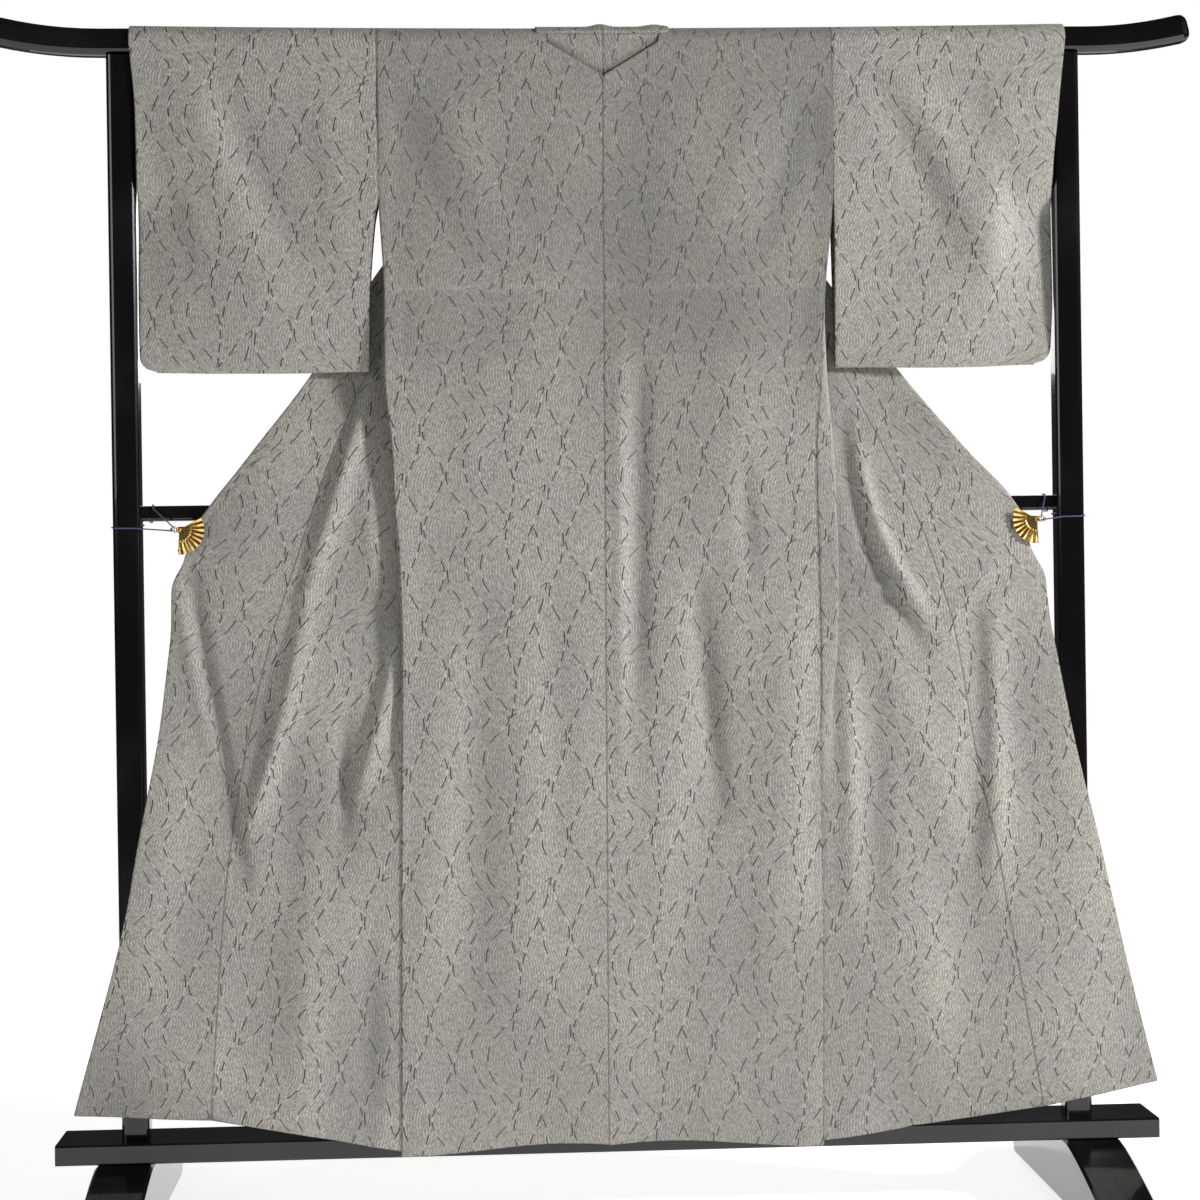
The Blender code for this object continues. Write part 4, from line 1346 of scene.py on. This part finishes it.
@dataclass(frozen=True)
class Sleeve:
    """A sleeve: a flat bag over the bar, open toward the body and at the wrist."""

    side: Side
    table: Table
    silk: bpy.types.Material
    folds: tuple[Crease | Sway, ...] = ()
    columns: int = 64
    corner: float = 0.022
    close: float = 0.090
    seam_gap: float = 0.0040
    figure_shift: float = 0.043
    painted_trough_shade: float = 0.12

    def layer(self, level: Array, near: bool) -> Array:
        """Points of one layer of the bag.

        Args:
            level: Levels of the rows, in a column.
            near: Whether it is the layer on the back's side.

        Returns:
            Rows x columns x 3.  The outer edge is rounded at its bottom corner
            and the two layers draw together toward the outer seam.
        """
        read = {name: self.table.read(name, level[:, 0])[:, None] for name in SLEEVE_COLUMNS[1:]}
        low = np.clip((self.table.rows[0][0] + self.corner - level) / self.corner, 0.0, 1.0)
        outer = read["outer"] - self.corner * (1.0 - np.sqrt(1.0 - low**2 * 0.999))
        steps = 1.0 - (1.0 - np.linspace(0.0, 1.0, self.columns)) ** 1.25
        across = read["inner"] + (outer - read["inner"]) * steps
        edge = smooth_step(1.0 - (outer - across) / self.close)
        shut = smooth_step((CUT.armhole + 0.02 - level) / 0.07)
        half = (read["far"] - read["near"]) / 2
        half = half + (self.seam_gap / 2 - half) * edge * shut
        high = rising(level, 1.6, CUT.bar - 1.6)
        height = level + (CUT.bar_level(across) - CUT.bar) * high
        sign = self.side.value
        free = smooth_step((CUT.bar - level) / 0.12) * (1.0 - 0.7 * edge * shut)
        push = pushed(self.folds, sign * across, height) * free
        middle = (read["near"] + read["far"]) / 2
        depth = middle - half - push if near else middle + half - push * 0.4
        return np.stack((sign * across, depth, height), axis=-1)

    def patches(self) -> list[Patch]:
        """The bag as one grid round the bar and its bottom, with its outer seam."""
        sign = self.side.value
        corner = np.linspace(self.table.rows[0][0], 1.26, 8)[:-1]
        side = np.linspace(1.26, CUT.armhole, 40)
        level = np.concatenate((corner, side, np.linspace(CUT.armhole, CUT.bar, 26)[1:]))
        near, far = self.layer(level[:, None], True), self.layer(level[::-1, None], False)
        over = over_bar(near[-1], far[0])
        middle, half = (near[0] + far[-1]) / 2, (far[-1] - near[0]) / 2
        round_in = np.linspace(0.0, math.pi, 7)[1:-1, None, None]
        drop = np.array((0.0, 0.0, -1.0)) * np.abs(half[:, 1:2])
        fold = middle + half * np.cos(round_in) + drop * np.sin(round_in)
        points = np.concatenate((near, over, far, fold, near[:1]))
        across = np.repeat(sign * np.abs(near[30:31, :, 0]), len(points), axis=0)
        run = np.linalg.norm(np.diff(points, axis=0), axis=-1)
        run = np.repeat(run[:, 20:21], self.columns, axis=1)
        along = np.concatenate((np.zeros((1, self.columns)), np.cumsum(run, axis=0)))
        along = along + self.figure_shift
        inner = np.abs(points[..., 0]) - np.abs(points[:, :1, 0])
        # Distance to the body seam above the armhole, for the silk's painted seam shade.
        seam = np.where(points[..., 2] > CUT.armhole, inner, 0.02)
        x, height = points[..., 0], points[..., 2]
        # Painted shade: in the troughs, a little higher up, and more on the right sleeve.
        valley = hollowed(self.folds, x, height, 0.005, 0.8)
        side_shade = 0.0 if self.side is Side.LEFT else 0.04
        shade = np.clip(side_shade + 0.03 * rising(height, 1.30, 0.35) + self.painted_trough_shade * valley, 0.0, 1.0)
        bag = Patch(points, across, along, seam, shade, sign)
        low = int(np.searchsorted(level, CUT.armhole)) + 1
        last = len(near) + len(over) + len(far) - 1
        one, two = points[:low, -1], points[last - low + 1:last + 1, -1][::-1]
        out = np.array((sign, 0.0, 0.0)) * self.seam_gap / 2
        bulge = np.linspace(0.0, math.pi, 6)[None, :, None]
        edge = (one + two)[:, None] / 2 + (one - two)[:, None] / 2 * np.cos(bulge)
        edge = edge + out * np.sin(bulge)
        grid = edge.shape[:2]
        # The strip along the outer seam gets a little painted shade.
        seam_strip = Patch(edge, np.full(grid, sign * 0.667), np.repeat(along[:low, -1:], 6, axis=1),
                           np.full(grid, 0.004), np.full(grid, 0.05))
        wrist = bag.rows(low - 1, last - low + 2).turned(Edge.LAST_COLUMN)
        return [bag, seam_strip, bag.turned(Edge.FIRST_COLUMN), wrist]

    def build(self) -> bpy.types.Object:
        """Makes the sleeve, cut 0.352 by 1.04 m and folded at its bottom."""
        node = f"sleeve_{self.side.word}"
        return sheet_of_silk(f"{node}_cloth", node, self.patches(), self.silk)


# -------------------------------------------------------------------- the folds
LEFT_FOLDS = (
    Crease((-0.330, 1.230), (-0.438, 0.895), 0.0135, 0.013, 0.0, -0.5),
    Crease((-0.430, 0.925), (-0.524, 0.560), 0.0135, 0.013, -0.010, -0.5),
    Crease((-0.604, 0.960), (-0.520, 0.470), -0.0110, 0.017, 0.004, 0.4),
    Crease((-0.622, 0.960), (-0.560, 0.640), 0.0095, 0.013, 0.004),
    Crease((-0.298, 0.860), (-0.366, 0.600), 0.0130, 0.014, -0.004, -0.5),
    Crease((-0.378, 0.740), (-0.384, 0.540), -0.0075, 0.013, 0.0),
    Crease((-0.600, 0.950), (-0.345, 0.890), 0.0034, 0.0050, 0.006),
    Crease((-0.345, 1.080), (-0.330, 0.900), 0.0050, 0.016, 0.0),
    Crease((-0.625, 0.700), (-0.690, 0.200), 0.0060, 0.040, 0.0),
    Crease((-0.470, 0.760), (-0.455, 0.420), -0.0045, 0.026, 0.0),
    Crease((-0.430, 0.560), (-0.440, 0.120), 0.0065, 0.030, 0.004),
    Crease((-0.345, 0.500), (-0.350, 0.110), -0.0050, 0.024, 0.0),
    Sway(((0.31, 0.20, 0.6, 0.0026), (0.17, -0.35, 2.1, 0.0014), (0.52, 1.60, 4.0, 0.0020))),
)
RIGHT_FOLDS = (
    Crease((0.352, 1.160), (0.475, 0.800), -0.0100, 0.014, 0.020, 0.3),
    Crease((0.368, 1.120), (0.470, 0.860), 0.0125, 0.013, 0.020),
    Crease((0.352, 0.925), (0.420, 0.875), -0.0035, 0.018, 0.0),
    Crease((0.350, 0.890), (0.468, 0.896), 0.0048, 0.008, -0.008),
    Crease((0.395, 0.860), (0.520, 0.500), 0.0045, 0.026, 0.0),
    Crease((0.545, 0.880), (0.530, 0.480), -0.0085, 0.018, -0.012, 0.3),
    Crease((0.575, 0.900), (0.570, 0.420), 0.0080, 0.024, 0.010),
    Crease((0.600, 0.960), (0.500, 0.830), 0.0030, 0.012, 0.010),
    Crease((0.355, 0.820), (0.350, 0.420), 0.0070, 0.016, 0.0),
    Crease((0.395, 0.780), (0.390, 0.380), -0.0045, 0.020, 0.0),
    Crease((0.660, 0.760), (0.720, 0.220), 0.0050, 0.040, 0.0),
    Crease((0.460, 0.500), (0.480, 0.120), 0.0045, 0.035, 0.004),
    Sway(((0.29, -0.22, 1.1, 0.0022), (0.18, 0.33, 0.4, 0.0012), (0.50, 1.50, 2.0, 0.0018))),
)
BACK_FOLDS = (
    Crease((0.026, 1.300), (0.018, 0.560), 0.0030, 0.011, 0.0),
    Crease((0.058, 1.250), (0.048, 0.740), -0.0075, 0.016, 0.004),
    Crease((0.132, 0.940), (0.168, 0.560), -0.0085, 0.018, 0.006),
    Crease((0.206, 1.120), (0.212, 0.900), -0.0045, 0.015, 0.0),
    Crease((-0.175, 0.930), (-0.195, 0.300), -0.0055, 0.030, 0.006),
    Crease((-0.235, 0.900), (-0.250, 0.320), 0.0034, 0.034, 0.004),
    Crease((-0.070, 0.950), (-0.060, 0.480), -0.0034, 0.026, 0.008),
    Crease((-0.118, 0.880), (-0.122, 0.340), 0.0034, 0.028, 0.0),
    Crease((0.162, 0.980), (0.146, 0.520), -0.0046, 0.024, 0.006),
    Crease((0.095, 0.960), (0.085, 0.360), 0.0036, 0.034, 0.006),
    Crease((0.252, 0.900), (0.262, 0.420), 0.0040, 0.028, -0.004),
    Crease((0.200, 0.700), (0.190, 0.200), -0.0026, 0.030, 0.0),
    Crease((-0.290, 1.640), (-0.180, 1.380), -0.0030, 0.022, 0.010),
    Crease((-0.230, 1.650), (-0.120, 1.400), 0.0030, 0.026, 0.010),
    Crease((0.300, 1.640), (0.220, 1.380), -0.0030, 0.022, -0.010),
    Crease((0.240, 1.650), (0.150, 1.400), 0.0030, 0.026, -0.008),
    Crease((-0.200, 0.884), (0.240, 0.884), 0.0011, 0.006, 0.0),
    Crease((-0.160, 1.270), (-0.200, 1.020), 0.0022, 0.024, 0.0),
    Crease((0.180, 1.260), (0.220, 1.010), 0.0022, 0.026, 0.0),
    Sway(((0.33, 0.12, 0.9, 0.0016), (0.16, -0.20, 2.7, 0.0008), (0.60, 1.90, 1.4, 0.0012))),
)
LEFT_SLEEVE_FOLDS = (
    Crease((-0.600, 1.700), (-0.470, 1.330), 0.0050, 0.028, 0.014),
    Crease((-0.560, 1.700), (-0.420, 1.380), -0.0050, 0.024, 0.014),
    Crease((-0.655, 1.640), (-0.560, 1.290), -0.0040, 0.024, 0.010),
    Crease((-0.400, 1.680), (-0.365, 1.300), 0.0030, 0.024, 0.0),
    Sway(((0.24, 0.40, 0.3, 0.0020), (0.50, -1.20, 1.9, 0.0016))),
)
RIGHT_SLEEVE_FOLDS = (
    Crease((0.380, 1.690), (0.520, 1.380), -0.0050, 0.024, -0.012),
    Crease((0.420, 1.700), (0.580, 1.360), 0.0050, 0.028, -0.012),
    Crease((0.520, 1.690), (0.640, 1.380), -0.0040, 0.024, -0.010),
    Crease((0.590, 1.640), (0.560, 1.290), 0.0032, 0.026, 0.0),
    Sway(((0.26, -0.40, 1.3, 0.0020), (0.48, 1.20, 0.9, 0.0016))),
)


# ------------------------------------------------------------------ hard pieces
@dataclass(frozen=True)
class Rack:
    """The lacquered rack: its CAD nodes in their real finish."""

    lacquer: bpy.types.Material
    nodes: tuple[str, ...] = ("top_bar", "post_left", "post_right", "lower_rail", "base_board",
                              "foot_left", "foot_right")

    def dress(self) -> None:
        """Gives every wooden piece the lacquer."""
        for name in self.nodes:
            dress_node(name, self.lacquer)


def dress_node(name: str, material: bpy.types.Material) -> None:
    """Puts a material on a CAD node."""
    for place in bpy.data.objects[name].material_slots:
        place.material = material


@dataclass(frozen=True)
class FanClip:
    """One fan clip and its cords."""

    side: Side
    gilt: bpy.types.Material
    cord: bpy.types.Material
    head: float = 0.0050

    def dress(self) -> None:
        """Gives the fan, the clip and the two cords their finishes."""
        word = self.side.word
        for name in (f"fan_{word}", f"clip_{word}"):
            dress_node(name, self.gilt)
        for name in (f"cord_post_{word}", f"cord_rail_{word}"):
            dress_node(name, self.cord)

    def torus(self, name: str, middle: Array, radii: tuple[float, float], axis: Array,
              material: bpy.types.Material) -> bpy.types.Object:
        """Makes a ring of round wire.

        Args:
            name: The piece's name.
            middle: Its centre.
            radii: Of the ring and of its wire.
            axis: The direction it turns about.
            material: Its finish.

        Returns:
            The ring: a circle of the wire's radius carried round a circle.
        """
        axis = axis / np.linalg.norm(axis)
        one = np.cross(axis, (0.0, 0.0, 1.0) if abs(axis[2]) < 0.9 else (1.0, 0.0, 0.0))
        one = one / np.linalg.norm(one)
        two = np.cross(axis, one)
        around = np.linspace(0.0, TAU, 41)[:, None, None]
        across = np.linspace(0.0, TAU, 13)[None, :, None]
        out = one * np.cos(around) + two * np.sin(around)
        points = middle + out * (radii[0] + radii[1] * np.cos(across))
        points = points + axis * radii[1] * np.sin(across)
        grid = points.shape[:2]
        blank = np.zeros(grid)
        piece = link(name, cloth_mesh(name, [Patch(points, blank, blank, blank, blank)]), material)
        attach(piece, BODY)
        return piece

    def build(self) -> None:
        """Makes the pin's ring, the rivet's collar and the cord's two knots."""
        word, sign = self.side.word, self.side.value
        low, high = (np.array(corner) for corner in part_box(f"clip_{word}"))
        pin = np.array((low[0] if sign < 0 else high[0], low[1], (low[2] + high[2]) / 2))
        pivot = pin - np.array((sign * self.head, 0.0, 0.0))
        ring = self.torus(f"ring_{word}", pivot + np.array((sign * 0.0062, 0.0006, 0.0002)),
                          (0.0042, 0.0008), np.array((0.35 * sign, 1.0, 0.25)), self.gilt)
        rivet = self.torus(f"rivet_{word}", pivot + np.array((0.0, -0.0004, 0.0)),
                           (0.0024, 0.0007), np.array((0.0, 1.0, 0.0)), self.gilt)
        for order, (drop, turn) in enumerate(((0.0008, 0.5), (-0.0008, -0.5))):
            knot = self.torus(f"knot_{word}_{order}", pivot + np.array((sign * 0.0106, 0.0004, drop)),
                              (0.0016, 0.0010), np.array((1.0, turn, 0.3)), self.cord)
        log.info("clip_%s: ring, rivet and knot", word)


# ----------------------------------------------------------------------- studio
@dataclass(frozen=True)
class Studio:
    """The pale floor, the soft lights and the camera."""

    floor: bpy.types.Material
    place: Point = (-0.1983, -3.6178, 0.9077)
    yaw: float = 3.044
    pitch: float = -0.2653
    roll: float = -0.8199
    lens: float = 74.15
    glow: float = 0.085
    gloss: float = 0.03
    floor_reach: float = 3.2
    floor_rings: int = 11
    floor_sides: int = 96

    def build_floor(self) -> None:
        """A round floor just under the feet: rings of growing radius."""
        rings = np.linspace(0.0, self.floor_reach, self.floor_rings + 1)[1:, None]
        turn = np.linspace(0.0, TAU, self.floor_sides + 1)[:-1]
        level = np.full((self.floor_rings, self.floor_sides), -0.0005)
        points = np.stack((rings * np.cos(turn), rings * np.sin(turn), level), axis=-1)
        mesh = bpy.data.meshes.new("floor")
        sides = self.floor_sides
        faces = [list(range(sides))]
        for ring in range(self.floor_rings - 1):
            start = ring * sides + np.arange(sides)
            after = ring * sides + (np.arange(sides) + 1) % sides
            faces += np.stack((start, start + sides, after + sides, after), axis=1).tolist()
        mesh.from_pydata(points.reshape(-1, 3).tolist(), [], faces)
        link("floor", mesh, self.floor)

    def build_camera(self) -> None:
        """The camera: turned right by yaw, up by pitch, and rolled about its view."""
        yaw, pitch, roll = (math.radians(angle) for angle in (self.yaw, self.pitch, self.roll))
        level = math.cos(pitch)
        ahead = Vector((math.sin(yaw) * level, math.cos(yaw) * level, math.sin(pitch)))
        right = Vector((math.cos(yaw), -math.sin(yaw), 0.0))
        up = right.cross(ahead)
        tilted_right = right * math.cos(roll) + up * math.sin(roll)
        tilted_up = up * math.cos(roll) - right * math.sin(roll)
        data = bpy.data.cameras.new("camera")
        data.lens = self.lens
        data.sensor_width = 36.0
        data.clip_end = 50.0
        camera = bpy.data.objects.new("camera", data)
        turned = Matrix((tilted_right, tilted_up, -ahead)).transposed().to_4x4()
        camera.matrix_world = Matrix.Translation(self.place) @ turned
        bpy.context.scene.collection.objects.link(camera)
        bpy.context.scene.camera = camera

    def build_light(self, name: str, place: Point, aim: Point, size: float, power: float) -> None:
        """A square soft light at a place, turned toward its aim.

        Args:
            name: The light's name.
            place: Where it is.
            aim: What its middle points at.
            size: Side of the square.
            power: Its power in watts.
        """
        data = bpy.data.lights.new(name, "AREA")
        data.size = size
        data.energy = power
        light = bpy.data.objects.new(name, data)
        light.location = place
        light.rotation_euler = (Vector(aim) - Vector(place)).to_track_quat("-Z", "Y").to_euler()
        bpy.context.scene.collection.objects.link(light)

    def build_world(self) -> None:
        """White to the eye, and dimmer as a light."""
        world = bpy.data.worlds.new("studio")
        bpy.context.scene.world = world
        world.use_nodes = True
        nodes, links = world.node_tree.nodes, world.node_tree.links
        seen = nodes.new("ShaderNodeLightPath")
        shiny = nodes.new("ShaderNodeMapRange")
        shiny.inputs[3].default_value = self.glow
        shiny.inputs[4].default_value = self.gloss
        share = nodes.new("ShaderNodeMapRange")
        share.inputs[4].default_value = 1.0
        links.new(seen.outputs["Is Glossy Ray"], shiny.inputs[0])
        links.new(shiny.outputs[0], share.inputs[3])
        links.new(seen.outputs["Is Camera Ray"], share.inputs[0])
        links.new(share.outputs[0], nodes["Background"].inputs["Strength"])
        nodes["Background"].inputs["Color"].default_value = (1.0, 1.0, 1.0, 1.0)

    def build(self) -> None:
        """Makes the whole studio."""
        self.build_camera()
        self.build_floor()
        self.build_world()
        self.build_light("key", (4.6, -2.3, 2.5), (0.0, 0.0, 0.9), 0.7, 285.0)
        self.build_light("fill", (-3.4, -3.6, 2.2), (0.0, 0.0, 0.9), 2.0, 38.0)
        self.build_light("back", (0.5, 2.8, 2.4), (0.0, 0.0, 1.0), 2.0, 30.0)
        bpy.context.scene.view_settings.view_transform = "Standard"


def main() -> None:
    """Builds the studio, the rack, the clips and every length of cloth."""
    Studio(PaleFloor().material()).build()
    silk = Silk().material()
    gilt, cord = Gilt().material(), TwistedCord().material()
    Rack(Lacquer().material()).dress()
    fronts = (
        Front(Side.LEFT, LEFT_FRONT, 0.052, 0.062, LEFT_FOLDS),
        Front(Side.RIGHT, RIGHT_FRONT, 0.042, 0.074, RIGHT_FOLDS),
    )
    for front in fronts:
        clip = FanClip(front.side, gilt, cord)
        clip.dress()
        clip.build()
        BodyPanel(front.side, front, silk, BACK_FOLDS).build()
        OkumiPanel(front.side, front, silk).build()
        FrontCollar(front.side, front, silk).build()
    NeckCollar(silk).build()
    Sleeve(Side.LEFT, LEFT_SLEEVE, silk, LEFT_SLEEVE_FOLDS).build()
    Sleeve(Side.RIGHT, RIGHT_SLEEVE, silk, RIGHT_SLEEVE_FOLDS).build()


if __name__ == "__main__":
    logging.basicConfig(level=logging.INFO, format="%(name)s: %(message)s")
    main()
